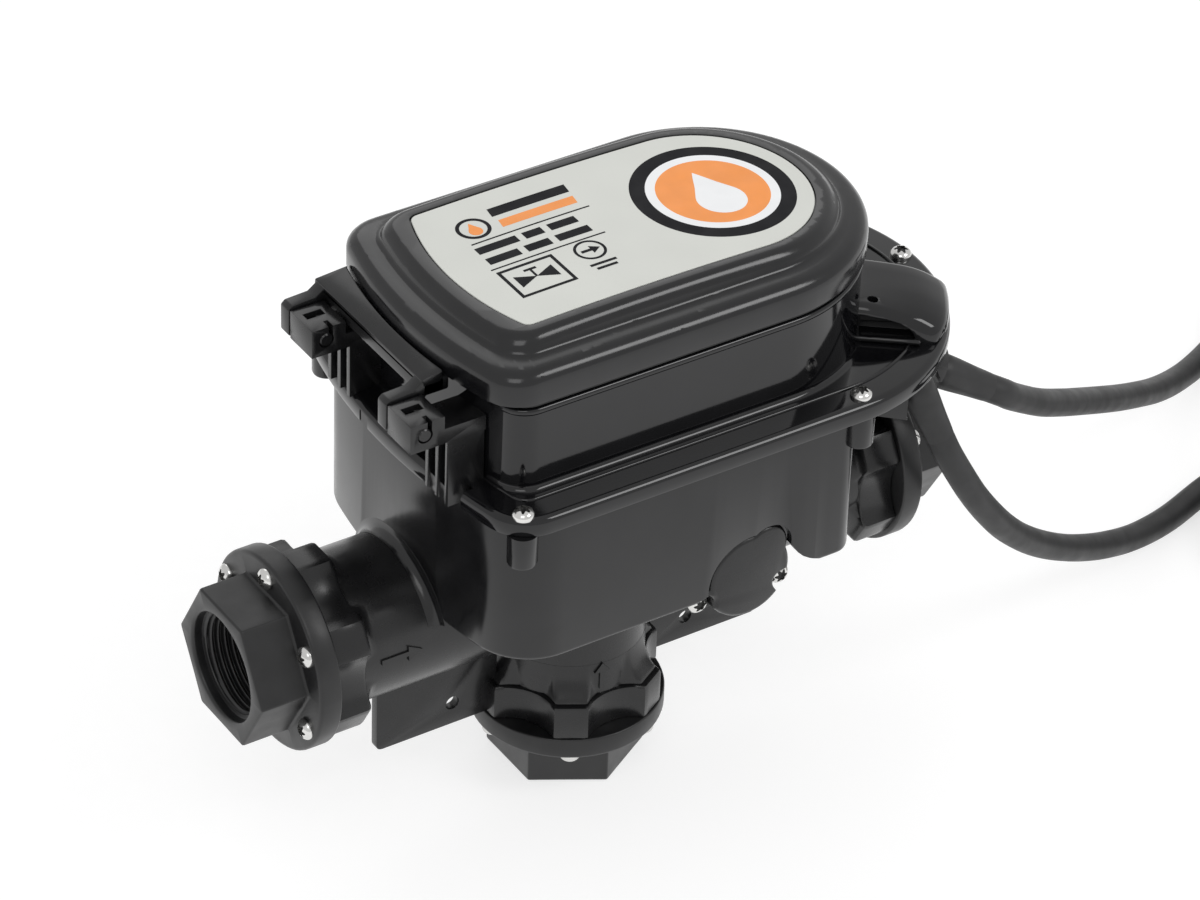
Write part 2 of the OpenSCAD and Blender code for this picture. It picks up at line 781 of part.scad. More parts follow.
function heading(turn) = [cos(turn[0]) * cos(turn[1]), cos(turn[0]) * sin(turn[1]), -sin(turn[0])];

module cable_entry() {
    color([0.03, 0.03, 0.035]) difference() {
        union() {
            translate([flange_c, 0, 120]) rotate([0, 0, -44]) translate([26, -16, 0])
                cube([26, 32, plate_z - 120]);
            translate([118.5, 0, 130]) cylinder(r = 4.8, h = 7);
            translate([90, -10, 130]) cube([28.5, 12, 7]);
            translate(supply_seat) aimed(supply_turn) translate([0, 0, -14]) cylinder(r = 8, h = 14);
            translate(pump_seat) aimed(pump_turn) translate([0, 0, -16]) cylinder(r = 8, h = 16);
        }
        translate(supply_seat) aimed(supply_turn) cylinder(r = 8.5, h = 40);
        translate(pump_seat) aimed(pump_turn) cylinder(r = 8.5, h = 40);
        translate([119, 0, 125]) cylinder(r = screw_r + slit, h = 20, $fn = 32);
        translate([0, 0, plate_z]) cylinder(r = 200, h = 20);
    }
}

module relief(seat, turn) {
    translate(seat) aimed(turn) cylinder(r1 = 7, r2 = cord_d / 2 + 0.5, h = relief_len);
}

module supply_relief() {
    color([0.05, 0.05, 0.05]) relief(supply_seat, supply_turn);
}

module pump_relief() {
    color([0.05, 0.05, 0.05]) relief(pump_seat, pump_turn);
}

// A cord's first points: straight on from the tip of its relief
function cord_start(seat, turn) = [for (t = [0.02, 5]) seat + (relief_len + t) * heading(turn)];

module supply_cord() {
    color([0.06, 0.06, 0.06])
        sweep_tube(concat(cord_start(supply_seat, supply_turn), supply_route), cord_d / 2, 10);
}

module pump_cord() {
    color([0.06, 0.06, 0.06])
        sweep_tube(concat(cord_start(pump_seat, pump_turn), pump_route), cord_d / 2, 10);
}

// Outer shape of a wound coil
module coil(at, grow = 0) {
    translate([at[0], at[1], -grow]) rotate_extrude()
        translate([coil_r - coil_w / 2 - grow, 0]) square([coil_w + 2 * grow, coil_h + 2 * grow]);
}

module supply_coil() {
    color([0.06, 0.06, 0.06]) coil(supply_coil_at);
}

module pump_coil() {
    color([0.06, 0.06, 0.06]) coil(pump_coil_at);
}

// Places a part, built along +X, on the tangent that the outer top turn leaves by
module at_coil_end(at, angle) {
    r = coil_r + cord_d / 2;
    translate([at[0] + r * cos(angle), at[1] + r * sin(angle), end_z])
        rotate([0, 0, angle - 90]) children();
}

module connector_shell(len, width) {
    translate([24, 0, 0]) rotate([0, 90, 0]) cylinder(r1 = 5, r2 = 7.5, h = 22);
    translate([46, 0, -end_z]) linear_extrude(2 * end_z) {
        for (s = [-1, 1])
            translate([5, s * (width / 2 - 5)]) circle(5);
        translate([0, 5 - width / 2]) square([len, width - 10]);
        translate([5, -width / 2]) square([len - 5, width]);
    }
}

module supply_plug() {
    color([0.05, 0.05, 0.05])
        at_coil_end(supply_coil_at, supply_end) connector_shell(38, 34);
}

module plug_pins() {
    color([0.8, 0.75, 0.5])
        at_coil_end(supply_coil_at, supply_end) for (y = [-9, 0, 9])
            translate([84, y - 0.8, y == 0 ? -7 : -1]) cube([17, 1.6, 6.3]);
}

module pump_socket() {
    color([0.05, 0.05, 0.05]) at_coil_end(pump_coil_at, pump_end) difference() {
        connector_shell(42, 34);
        for (y = [-9, 0, 9])
            translate([70, y - 1.1, y == 0 ? -7.4 : -1.4]) cube([20, 2.2, 7.1]);
    }
}

// Clip over a coil's turns, open underneath
module tie(at, angle) {
    difference() {
        translate([at[0], at[1], 0]) rotate([0, 0, angle])
            translate([coil_r - coil_w / 2 - 1.4, -4, 0]) cube([coil_w + 2.8, 8, coil_h + 1.4]);
        coil(at, 0.05);
    }
}

module cord_ties() {
    color([0.1, 0.1, 0.1]) {
        tie(supply_coil_at, 215);
        tie(pump_coil_at, 300);
    }
}

valve_body();
lower_housing();
cover_frame();
cover_gasket();
lid();
lid_seal();
label();
hinge_bar();
hinge_pins();
cover_screws();
housing_screws();
mains_union();
pump_union();
outlet_union();
union_seals();
union_screws();
side_cap();
side_cap_seal();
side_cap_screws();
pressure_sensor();
diverter_ball();
ball_seats();
valve_stem();
stem_seal();
drive_gear();
motor_pinion();
gear_motor();
motor_bracket();
mains_check_seat();
mains_check_poppet();
mains_check_spring();
mains_check_guide();
pump_check_seat();
pump_check_poppet();
pump_check_spring();
pump_check_guide();
turbine_carrier();
flow_turbine();
control_board();
transformer();
relays();
terminal_block();
cable_entry();
supply_relief();
pump_relief();
supply_cord();
supply_coil();
supply_plug();
plug_pins();
pump_cord();
pump_coil();
pump_socket();
cord_ties();
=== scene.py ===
"""Looks of a motorised diverter valve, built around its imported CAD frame.
Lengths are in millimetres until mesh() makes metres."""

import json
from math import asin, atan2, cos, degrees, exp, hypot, log, pi, radians, sin, sqrt, tan

import bmesh
import bpy
from mathutils import Matrix, Vector


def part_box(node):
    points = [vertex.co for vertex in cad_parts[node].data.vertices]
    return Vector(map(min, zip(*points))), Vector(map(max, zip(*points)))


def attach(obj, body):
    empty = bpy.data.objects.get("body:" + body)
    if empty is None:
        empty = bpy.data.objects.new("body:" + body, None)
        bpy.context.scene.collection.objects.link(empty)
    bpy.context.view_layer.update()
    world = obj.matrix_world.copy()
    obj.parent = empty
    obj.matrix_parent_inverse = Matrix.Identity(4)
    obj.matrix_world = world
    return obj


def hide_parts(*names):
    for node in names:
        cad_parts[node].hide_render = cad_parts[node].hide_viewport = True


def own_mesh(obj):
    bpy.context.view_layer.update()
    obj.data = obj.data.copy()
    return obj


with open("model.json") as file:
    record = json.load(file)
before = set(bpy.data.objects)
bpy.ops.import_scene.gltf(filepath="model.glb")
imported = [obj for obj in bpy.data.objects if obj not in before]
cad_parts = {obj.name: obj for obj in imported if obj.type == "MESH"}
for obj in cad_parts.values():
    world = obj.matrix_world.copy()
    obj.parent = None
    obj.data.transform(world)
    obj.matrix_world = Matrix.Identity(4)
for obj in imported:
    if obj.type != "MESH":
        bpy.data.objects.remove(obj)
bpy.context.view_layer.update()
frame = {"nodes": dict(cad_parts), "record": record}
MM = 0.001
TAU = 2 * pi

# ---- sizes, as the CAD holds them

RUN_Z = 77
TUBE_R = 24
DISC_R = 31.7
DISC_T = 7.5
HEX_LEN = 16
PUMP_Z = DISC_T + HEX_LEN
MAINS_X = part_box("mains_union")[0].x / MM + PUMP_Z
OUTLET_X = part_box("outlet_union")[1].x / MM - PUMP_Z
HEX_R = 24.75
MOUTH_R = 17.3
THREAD_R = 15.15
THREAD_PITCH = 2.309
SCREW_PCD_R = 27
LOBE_T = 12.2
LOBE_R = 31.2
LOBE_FLAT = 30.2
SCOOP_AT = 41.4
SCOOP_R = 16.4
FLANGE_TOP = 143
TUB_TOP = 138.5
WEB_HOLE = (42.9, 32.4)
WEB_HOLE_R = 2.25
WEB_LOW, WEB_HIGH = 24.4, 55.5
WEB_IN, WEB_OUT = 27, 70
WEB_T = 3.4
BORE_R = 20.2
BRANCH = (27.5, 90)
CAP_SCREWS = ((11.4, 83.7), (40.8, 83.7))
CAP_BUMP = (6, 8.5)
CAP_R = 14.5
CAP_BUMP_R = 7.5
CAP_NOTCH_R = 4.1
CAP_Y = -52
FLANGE_SCREWS = ((-54, -56), (-54, 56), (65, -56), (65, 56), (119, 0))
PIN = Vector((-74.5, 0, 165.5))
PIN_R = 2.2
CROWN_Z = 187
PRINT_Z = 190.9
PRINT_STEP = 0.035
BLOCKS_Y = (-35, 21)
BLOCK_W = 12.7
BOARD_Z = 152
BOARD_T = 1.6
CORD_D = 9

# ---- small helpers


def add_object(name, data):
    obj = bpy.data.objects.new(name, data)
    bpy.context.scene.collection.objects.link(obj)
    return obj


def at(x, y, z):
    return Matrix.Translation((x, y, z))


def spin(degrees, axis):
    return Matrix.Rotation(radians(degrees), 4, axis)


def standing(*axes):
    """Turn whose columns are three axes."""
    return Matrix(axes).transposed().to_4x4()


def polar(r, degrees, cx=0, cy=0):
    a = radians(degrees)
    return cx + r * cos(a), cy + r * sin(a)


# ---- camera

CAMERA_AT = (-732.8, -1104.6, 1065.3)
CAMERA_AXES = ((0.84128, -0.53979, 0.02947), (0.29528, 0.50451, 0.81135), (-0.45283, -0.67387, 0.58382))


def make_camera():
    data = bpy.data.cameras.new("camera")
    data.sensor_width = 36
    data.lens = 161.55
    data.clip_start, data.clip_end = 0.05, 20
    camera = add_object("camera", data)
    camera.matrix_world = at(*(v * MM for v in CAMERA_AT)) @ standing(*CAMERA_AXES)
    bpy.context.scene.camera = camera


make_camera()

# ---- materials


def new_material(name):
    made = bpy.data.materials.new(name)
    made.use_nodes = True
    nodes = made.node_tree.nodes
    nodes.clear()
    shader = nodes.new("ShaderNodeBsdfPrincipled")
    out = nodes.new("ShaderNodeOutputMaterial")
    made.node_tree.links.new(shader.outputs["BSDF"], out.inputs["Surface"])
    return made, made.node_tree, shader


def node(tree, kind, **values):
    """A node with constants on its sockets. An underscore stands for the space in a socket's name."""
    made = tree.nodes.new(kind)
    for socket, value in values.items():
        made.inputs[socket.replace("_", " ")].default_value = value
    return made


def noise(tree, size_mm, detail=3, stretch=(1, 1, 1)):
    """Noise whose blotches are about size_mm across, in the object's own space."""
    where = tree.nodes.new("ShaderNodeTexCoord")
    mapping = node(tree, "ShaderNodeMapping", Scale=stretch)
    texture = node(tree, "ShaderNodeTexNoise", Scale=1 / (size_mm * MM), Detail=detail)
    tree.links.new(where.outputs["Object"], mapping.inputs["Vector"])
    tree.links.new(mapping.outputs["Vector"], texture.inputs["Vector"])
    return texture.outputs["Fac"]


def ramp(tree, value, *colours):
    """Maps a noise value to a colour between two."""
    made = tree.nodes.new("ShaderNodeValToRGB")
    for stop, position, colour in zip(made.color_ramp.elements, (0.35, 0.65), colours):
        stop.position = position
        stop.color = (*colour, 1)
    tree.links.new(value, made.inputs["Fac"])
    return made.outputs["Color"]


def span(tree, value, low, high):
    made = node(tree, "ShaderNodeMapRange", From_Min=0.3, From_Max=0.7, To_Min=low, To_Max=high)
    tree.links.new(value, made.inputs["Value"])
    return made.outputs["Result"]


def bump(tree, height, strength, depth_mm, below=None):
    made = node(tree, "ShaderNodeBump", Strength=strength, Distance=depth_mm * MM)
    tree.links.new(height, made.inputs["Height"])
    if below is not None:
        tree.links.new(below, made.inputs["Normal"])
    return made.outputs["Normal"]


def moulded(name, colour, rough, grain, mottle=0.18, sink=(28, 0.12, 0.05), metal=0, stretch=(1, 1, 1), specular=0.5):
    """A moulded or drawn surface: fine grain, faint sink marks, and colour and gloss that vary a little.
    Grain and sink are each a size, a strength and a depth."""
    made, tree, shader = new_material(name)
    broad = noise(tree, sink[0], 2)
    fine = noise(tree, grain[0], 4, stretch)
    shades = [[min(1, c * k) for c in colour] for k in (1 - mottle, 1 + mottle)]
    tree.links.new(ramp(tree, noise(tree, sink[0] * 0.35, 5), *shades), shader.inputs["Base Color"])
    tree.links.new(span(tree, noise(tree, 7, 6), rough * 0.88, rough * 1.14), shader.inputs["Roughness"])
    under = bump(tree, broad, *sink[1:])
    tree.links.new(bump(tree, fine, *grain[1:], under), shader.inputs["Normal"])
    shader.inputs["Metallic"].default_value = metal
    shader.inputs["Specular IOR Level"].default_value = specular
    return made


GLOSS = moulded("gloss_black", (0.0045, 0.0045, 0.0052), 0.07, (0.9, 0.05, 0.01), sink=(34, 0.1, 0.1))
LID_GLOSS = moulded("lid_gloss", (0.006, 0.006, 0.0068), 0.17, (0.6, 0.06, 0.01), sink=(30, 0.08, 0.1))
TUB_SATIN = moulded("tub_satin", (0.006, 0.006, 0.0066), 0.19, (0.7, 0.1, 0.01), sink=(30, 0.1, 0.1))
BODY = moulded("body_nylon", (0.007, 0.007, 0.0075), 0.27, (0.5, 0.22, 0.012), sink=(18, 0.12, 0.08))
UNION = moulded("union_nylon", (0.0075, 0.0075, 0.008), 0.38, (0.4, 0.35, 0.015), sink=(16, 0.12, 0.08))
HINGE = moulded("hinge_black", (0.007, 0.007, 0.0075), 0.25, (0.35, 0.4, 0.02), sink=(12, 0.1, 0.05))
RUBBER = moulded("cord_rubber", (0.014, 0.014, 0.0145), 0.5, (0.5, 0.35, 0.02), sink=(14, 0.2, 0.1))
SEAL = moulded("seal_rubber", (0.012, 0.012, 0.0125), 0.6, (0.4, 0.3, 0.02))
PLUG = moulded("plug_black", (0.012, 0.012, 0.013), 0.4, (0.45, 0.5, 0.03), sink=(10, 0.1, 0.05))
LABEL = moulded("label_film", (0.62, 0.63, 0.59), 0.36, (0.25, 0.12, 0.006), 0.02, (40, 0.05, 0.05))
ORANGE = moulded("print_orange", (0.86, 0.27, 0.03), 0.34, (0.2, 0.1, 0.004), 0.04)
INK = moulded("print_black", (0.004, 0.004, 0.006), 0.5, (0.2, 0.1, 0.004), 0.1, specular=0.12)
WHITE = moulded("print_white", (0.83, 0.84, 0.85), 0.32, (0.2, 0.1, 0.004), 0.02)
STEEL = moulded("screw_steel", (0.7, 0.695, 0.68), 0.17, (0.25, 0.25, 0.01), 0.06, metal=1)
# Near-black steel for the plates in the screw sockets: painted shade for the recess bottoms, not the steel's own
# colour.
PAINTED_SOCKET_SHADE = moulded("painted_socket_shade", (0.045, 0.045, 0.045), 0.45, (0.25, 0.3, 0.01), 0.15, metal=1)
POLISHED = moulded("ball_chrome", (0.8, 0.8, 0.82), 0.07, (0.6, 0.05, 0.004), 0.04, metal=1)
PLATED = moulded("plated_steel", (0.6, 0.6, 0.58), 0.33, (0.3, 0.3, 0.01), 0.1, metal=1, stretch=(1, 1, 6))
BRASS = moulded("pin_brass", (0.72, 0.52, 0.22), 0.24, (0.3, 0.25, 0.01), 0.1, metal=1)
ACETAL = moulded("acetal_white", (0.78, 0.77, 0.73), 0.38, (0.3, 0.2, 0.01), 0.04)
POPPET = moulded("poppet_orange", (0.72, 0.22, 0.07), 0.4, (0.3, 0.25, 0.01), 0.08)
TURBINE = moulded("turbine_blue", (0.07, 0.2, 0.45), 0.35, (0.3, 0.2, 0.01), 0.08)
RELAY = moulded("relay_blue", (0.03, 0.12, 0.36), 0.25, (0.5, 0.1, 0.01), 0.08)
POTTING = moulded("potting_black", (0.018, 0.018, 0.02), 0.3, (1.2, 0.3, 0.05), sink=(8, 0.3, 0.2))
CERAMIC = moulded("part_brown", (0.3, 0.16, 0.06), 0.4, (0.4, 0.2, 0.01), 0.1)
SLEEVE = moulded("capacitor_sleeve", (0.025, 0.03, 0.09), 0.3, (0.5, 0.15, 0.01), 0.1)


def board_material():
    """Solder mask over copper tracks: a grid of lines under green lacquer."""
    made, tree, shader = new_material("board_green")
    where = tree.nodes.new("ShaderNodeTexCoord")
    bricks = node(tree, "ShaderNodeTexBrick", Scale=95, Mortar_Size=0.035, Color1=(0.012, 0.12, 0.05, 1),
        Color2=(0.016, 0.15, 0.065, 1), Mortar=(0.03, 0.24, 0.1, 1))
    tree.links.new(where.outputs["Object"], bricks.inputs["Vector"])
    tree.links.new(bricks.outputs["Color"], shader.inputs["Base Color"])
    tree.links.new(bump(tree, bricks.outputs["Fac"], 0.3, 0.05), shader.inputs["Normal"])
    tree.links.new(span(tree, noise(tree, 3), 0.22, 0.34), shader.inputs["Roughness"])
    return made


BOARD = board_material()
# The looks of each slot. The first is also that of the CAD nodes that are carried over.
LOOKS = {"gloss_black": (GLOSS, LID_GLOSS, TUB_SATIN), "satin_black": (BODY, UNION), "moulded_black": (HINGE, PLUG),
    "label_grey": (LABEL, ORANGE, INK, WHITE), "rubber_black": (SEAL, RUBBER), "stainless": (STEEL, PAINTED_SOCKET_SHADE),
    "polished_steel": (POLISHED,), "seat_white": (ACETAL, CERAMIC), "brass": (BRASS,), "plated_steel": (PLATED,),
    "poppet_orange": (POPPET,), "turbine_blue": (TURBINE,), "board_green": (BOARD,),
    "potting_black": (POTTING, SLEEVE), "relay_blue": (RELAY,)}
SLOT_OF = {look.name: slot for slot, looks in LOOKS.items() for look in looks}

# ---- mesh helpers


def mesh(name, parts, material, body="root", slot=None, **finish):
    """One object from several closed (points, faces) parts, riding on a body."""
    data = bpy.data.meshes.new(name)
    points, faces = [], []
    for part_points, part_faces in parts:
        start = len(points)
        points += [Vector(p) * MM for p in part_points]
        faces += [[i + start for i in face] for face in part_faces]
    data.from_pydata(points, [], faces)
    made = bmesh.new()
    made.from_mesh(data)
    bmesh.ops.recalc_face_normals(made, faces=made.faces)
    made.to_mesh(data)
    made.free()
    data.materials.append(material)
    return dress(add_object(name, data), body, slot or SLOT_OF.get(material.name), **finish)


def stand_in(name, parts, material, **more):
    """A piece that takes the place of the CAD node of its name."""
    return mesh(name, parts, material, replaces=[name], **more)


def dress(obj, body="root", slot=None, bevel=0, sharp=32, replaces=(), segments=3):
    """Rounds the edges, shades smooth between sharp edges, and puts the object on its body."""
    if bevel:
        rounding = obj.modifiers.new("rounding", "BEVEL")
        rounding.width = bevel * MM
        rounding.segments = segments
        rounding.limit_method = "ANGLE"
        rounding.angle_limit = radians(38)
        settle(obj)
    obj.data.shade_smooth()
    obj.data.set_sharp_from_angle(angle=radians(sharp))
    if body:
        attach(obj, body)
    if replaces:
        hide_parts(*replaces)
    return obj


def settle(obj):
    """Turns the object's modifiers into its mesh."""
    graph = bpy.context.evaluated_depsgraph_get()
    graph.update()
    final = bpy.data.meshes.new_from_object(obj.evaluated_get(graph))
    obj.modifiers.clear()
    obj.data = final


def plain(*parts):
    """A loose object for cutting or joining."""
    return mesh("loose", parts, GLOSS, body=None)


def combine(obj, parts, operation):
    """Boolean of an object with closed parts, one after another, in place."""
    for part in parts:
        other = plain(part)
        change = obj.modifiers.new("change", "BOOLEAN")
        change.operation = operation
        change.solver = "EXACT"
        change.object = other
        settle(obj)
        bpy.data.objects.remove(other)
    return obj


def join(obj, *parts):
    return combine(obj, parts, "UNION")


def cut(obj, *parts):
    return combine(obj, parts, "DIFFERENCE")


def part_of(obj):
    """An object's mesh as points and faces in millimetres. The object goes."""
    points = [v.co / MM for v in obj.data.vertices]
    faces = [list(f.vertices) for f in obj.data.polygons]
    bpy.data.objects.remove(obj)
    return points, faces


def eased(obj, bevel, segments=3):
    """A loose object as a part with rounded edges."""
    return part_of(dress(obj, body=None, bevel=bevel, segments=segments))


def moved(part, matrix):
    points, faces = part
    return [matrix @ Vector(p) for p in points], faces


def loft(rings, loop=False):
    """Skin through rings of the same number of points. Ends are capped, or the last ring meets the first."""
    count = len(rings[0])
    last = (len(rings) - 1) * count
    points = [p for ring in rings for p in ring]
    starts = [i * count for i in range(len(rings))]
    faces = []
    for a, b in zip(starts, starts[1:] + [0] * loop):
        for k in range(count):
            n = (k + 1) % count
            faces.append([a + k, a + n, b + n, b + k])
    if not loop:
        faces.append(list(range(count))[::-1])
        faces.append([last + k for k in range(count)])
    return points, faces


def box(low, high):
    (x0, y0, z0), (x1, y1, z1) = low, high
    ring = lambda z: [(x0, y0, z), (x1, y0, z), (x1, y1, z), (x0, y1, z)]
    return loft([ring(z0), ring(z1)])


def prism(outline, low, high, axis="z"):
    """A closed outline pushed along an axis. For y the outline is (x, z), for x it is (y, z)."""
    place = {"z": lambda u, v, h: (u, v, h), "y": lambda u, v, h: (u, h, v), "x": lambda u, v, h: (h, u, v)}[axis]
    return loft([[place(u, v, h) for u, v in outline] for h in (low, high)])


def arc(cx, cy, r, start, end, steps):
    return [polar(r, start + (end - start) * i / steps, cx, cy) for i in range(steps + 1)]


def circle(cx, cy, r, steps=48):
    return arc(cx, cy, r, 0, 360, steps)[:-1]


def rounded(points, radii, steps=5):
    """An open line with an arc at each inner corner; radii has one number for each point."""
    out = [Vector(points[0])]
    for before, here, after, r in zip(points, points[1:], points[2:], radii[1:]):
        here, a, b = Vector(here), Vector(before), Vector(after)
        u, v = (a - here), (b - here)
        reach = min(r / tan(u.angle(v) / 2), u.length * 0.49, v.length * 0.49)
        start, end = here + u.normalized() * reach, here + v.normalized() * reach
        for i in range(steps + 1):
            t = i / steps
            out.append(start * (1 - t) ** 2 + here * 2 * t * (1 - t) + end * t * t)
    out.append(Vector(points[-1]))
    return [tuple(p) for p in out]


def lathe(profile, steps=72, loop=False):
    """Revolves (radius, z) points about Z into a capped solid."""
    rings = [[(r * cos(TAU * k / steps), r * sin(TAU * k / steps), z) for k in range(steps)] for r, z in profile]
    return loft(rings, loop)


def turned(profile, steps=72):
    """Revolves a closed (radius, z) outline into a ring."""
    return lathe(profile, steps, loop=True)


def sweep(line, radius, sides=16):
    """A round bar along a line of points."""
    line = [Vector(p) for p in line]
    side = None
    rings = []
    for i, p in enumerate(line):
        along = (line[min(i + 1, len(line) - 1)] - line[max(i - 1, 0)]).normalized()
        if side is None:
            side = along.cross(Vector((0.3, 0.2, 0.93))).normalized()
        side = (side - along * side.dot(along)).normalized()
        other = along.cross(side)
        rings.append([p + (side * cos(TAU * k / sides) + other * sin(TAU * k / sides)) * radius
            for k in range(sides)])
    return loft(rings)


# ---- outlines


def plan(left, arc_r, corner_r, half, centre=None, right=None, right_r=None):
    """The long outline, point for point the same at every inset: right end, far side, left arc, near side."""
    cx = left + arc_r - sqrt((arc_r - corner_r) ** 2 - (half - corner_r) ** 2)
    lean = degrees(asin((half - corner_r) / (arc_r - corner_r)))
    out = []
    if centre is not None:
        out += arc(centre, 0, half, -90, 90, 64)
        start = centre
    else:
        out += arc(right - right_r, right_r - half, right_r, -90, 0, 12)
        out += [(right, y * (half - right_r) / 9) for y in range(-8, 9)]
        out += arc(right - right_r, half - right_r, right_r, 0, 90, 12)
        start = right - right_r
    out += [(start + (cx - start) * i / 24, half) for i in range(1, 24)]
    out += arc(cx, half - corner_r, corner_r, 90, 180 - lean, 14)
    out += arc(left + arc_r, 0, arc_r, 180 - lean, 180 + lean, 32)[1:-1]
    out += arc(cx, corner_r - half, corner_r, 180 + lean, 270, 14)
    out += [(cx + (start - cx) * i / 24, -half) for i in range(1, 24)]
    return out


def flange_plan(inset):
    return plan(-67 + inset, 225 - inset, 15 - inset, 61 - inset, 63)


def wall_plan(inset):
    return plan(-57.3 + inset, 160 - inset, 9 - inset, 47.3 - inset, 45)


def lid_plan(inset):
    return plan(-62 + inset, 150 - inset, max(13 - inset / 4, 4), 48.5 - inset, 45)


def label_plan(inset):
    return plan(-45.3 + inset, 90 - inset, 3, 32.7 - inset, 44)


def tub_plan(inset):
    return plan(-63 + inset, 215 - inset, 20 - inset, 57 - inset, right=66 - inset, right_r=7 - inset)


def lid_crown(x):
    """The lid's top falls away a little towards both ends."""
    return 1.5 * ((x - 2) / 64) ** 2


def stack(outline, profile):
    """Rings of an outline for (inset, z) points."""
    return [[(x, y, z) for x, y in outline(inset)] for inset, z in profile]


# ---- cords

SUPPLY_SEAT = Vector((95.5, -41, 129.5))
SUPPLY_TURN = (64, -46)
PUMP_SEAT = Vector((108, -34.3, 125))
PUMP_TURN = (30, -15)
RELIEF_LEN = 22
SUPPLY_ROUTE = [(107.6, -51.2, 97), (113.9, -51.8, 86), (121.8, -50.7, 75), (132, -47.6, 63), (144.6, -43.3, 51),
    (159.3, -38, 39.5), (175.5, -31.9, 28.8), (192.8, -25.3, 19.3), (211, -18.2, 11.4), (231, -10.4, 6.2),
    (253, -2, 4.5), (269, 1.8, 4.5), (285.5, 1.6, 4.5)]
PUMP_ROUTE = [(138, -38, 105.5), (154, -31, 93.5), (170.5, -22, 82), (187, -12, 70.5), (204, -2, 59),
    (220.5, 8.5, 47.5), (237, 19, 36.5), (253.5, 29.5, 26), (270, 40, 17), (287, 50.5, 10), (304, 60.5, 6),
    (321, 70.5, 4.5)]
SUPPLY_COIL = (291, -50)
PUMP_COIL = (363.5, 38)
SUPPLY_IN, SUPPLY_OUT = 77, 35
PUMP_IN, PUMP_OUT = 120.5, 10
OUTER_TURN = 49.5
INNER_TURN = 40.5
FIRST_LAYER = CORD_D / 2
SECOND_LAYER = CORD_D * 1.5
TURN_STEP = 12
PLUG_SHOULDER = 30


def heading(turn):
    down, level = turn
    ahead, drop = polar(1, down)
    return Vector((*polar(ahead, level), -drop))


def unit(x):
    return max(0, min(1, x))


def ease(x):
    return unit(x) ** 2 * (3 - 2 * unit(x))


def glide(x):
    """Eases from 0 to 1 with the gentlest bend."""
    return 2 * unit(x) ** 2 if x < 0.5 else 1 - 2 * (1 - unit(x)) ** 2


def coil_line(centre, enter, leave):
    """Turns of a stored coil, clockwise from the angle that it is entered at: outer low, inner low, inner high,
    outer high. Each change of lane keeps clear of the turns beside it."""
    line = []
    tail = enter - leave
    whole = 3 * 360 + tail
    steps = round(whole / TURN_STEP)
    start = tail + 4
    room = 354 - start
    for i in range(steps + 1):
        gone = whole * i / steps
        outward = glide((gone - 720 - start) / (0.37 * room))
        climb = glide((gone - 360 - start - 0.37 * room) / (0.26 * room))
        inward = glide((gone - start - 0.63 * room) / (0.37 * room))
        r = OUTER_TURN + (INNER_TURN - OUTER_TURN) * (inward - outward)
        z = FIRST_LAYER + (SECOND_LAYER - FIRST_LAYER) * climb
        line.append(Vector((*polar(r, enter - gone, *centre), z)))
    return line


def coil_end(centre, leave):
    """Where the last turn lets go, and the level direction it leaves in."""
    return Vector((*polar(OUTER_TURN, leave, *centre), SECOND_LAYER)), Vector((*polar(1, leave - 90), 0))


def cord_line(seat, turn, route, centre, enter, leave):
    way = heading(turn)
    tip = seat + way * RELIEF_LEN
    place, out = coil_end(centre, leave)
    return ([tip, tip + way * 6] + [Vector(p) for p in route] + coil_line(centre, enter, leave)
        + [place + out * t for t in (8, 16, PLUG_SHOULDER - 4)])


def smooth_line(points, parts=8):
    """Catmull-Rom points through the given ones."""
    out = []
    for i in range(len(points) - 1):
        a, b, c, d = (points[max(0, min(len(points) - 1, j))] for j in (i - 1, i, i + 1, i + 2))
        for k in range(parts):
            t = k / parts
            out.append(0.5 * ((2 * b) + (c - a) * t + (2 * a - 5 * b + 4 * c - d) * t * t
                + (3 * b - a - 3 * c + d) * t ** 3))
    return out + [points[-1]]


def cord_curve(name, line, nodes):
    data = bpy.data.curves.new(name, "CURVE")
    data.dimensions = "3D"
    data.bevel_depth = CORD_D / 2 * MM
    data.bevel_resolution = 6
    data.use_fill_caps = True
    spline = data.splines.new("POLY")
    points = smooth_line(line)
    spline.points.add(len(points) - 1)
    for place, p in zip(spline.points, points):
        place.co = (*(p * MM), 1)
    spline.use_smooth = True
    data.materials.append(RUBBER)
    obj = add_object(name, data)
    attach(obj, "root")
    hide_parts(*nodes)
    return obj


def frame_along(place, turn):
    """Matrix that stands +Z along a heading, with +Y as near upright as it goes."""
    z = heading(turn)
    y = (Vector((0, 0, 1)) - z * z.z).normalized()
    return at(*place) @ standing(y.cross(z), y, z)


def relief_piece(name, seat, turn):
    """Tapered strain relief with a groove at its root."""
    profile = [(0, -3), (5.5, -3), (5.7, 0), (5.7, 1), (5.4, 1.4), (5.4, 2.2), (5.6, 2.6)]
    profile += [(5.6 - 0.9 * ease(k / 10), 2.6 + 1.8 * k) for k in range(1, 10)]
    profile += [(4.62, RELIEF_LEN - 1.2), (4.5, RELIEF_LEN), (4.2, RELIEF_LEN + 0.1), (0, RELIEF_LEN + 0.1)]
    return stand_in(name, [moved(lathe(profile, 40), frame_along(seat, turn))], RUBBER)


supply_line = cord_line(SUPPLY_SEAT, SUPPLY_TURN, SUPPLY_ROUTE, SUPPLY_COIL, SUPPLY_IN, SUPPLY_OUT)
pump_line = cord_line(PUMP_SEAT, PUMP_TURN, PUMP_ROUTE, PUMP_COIL, PUMP_IN, PUMP_OUT)
supply_cord = cord_curve("supply_lead", supply_line, ["supply_cord", "supply_coil"])
pump_cord = cord_curve("pump_lead", pump_line, ["pump_cord", "pump_coil"])
supply_relief = relief_piece("supply_relief", SUPPLY_SEAT, SUPPLY_TURN)
pump_relief = relief_piece("pump_relief", PUMP_SEAT, PUMP_TURN)


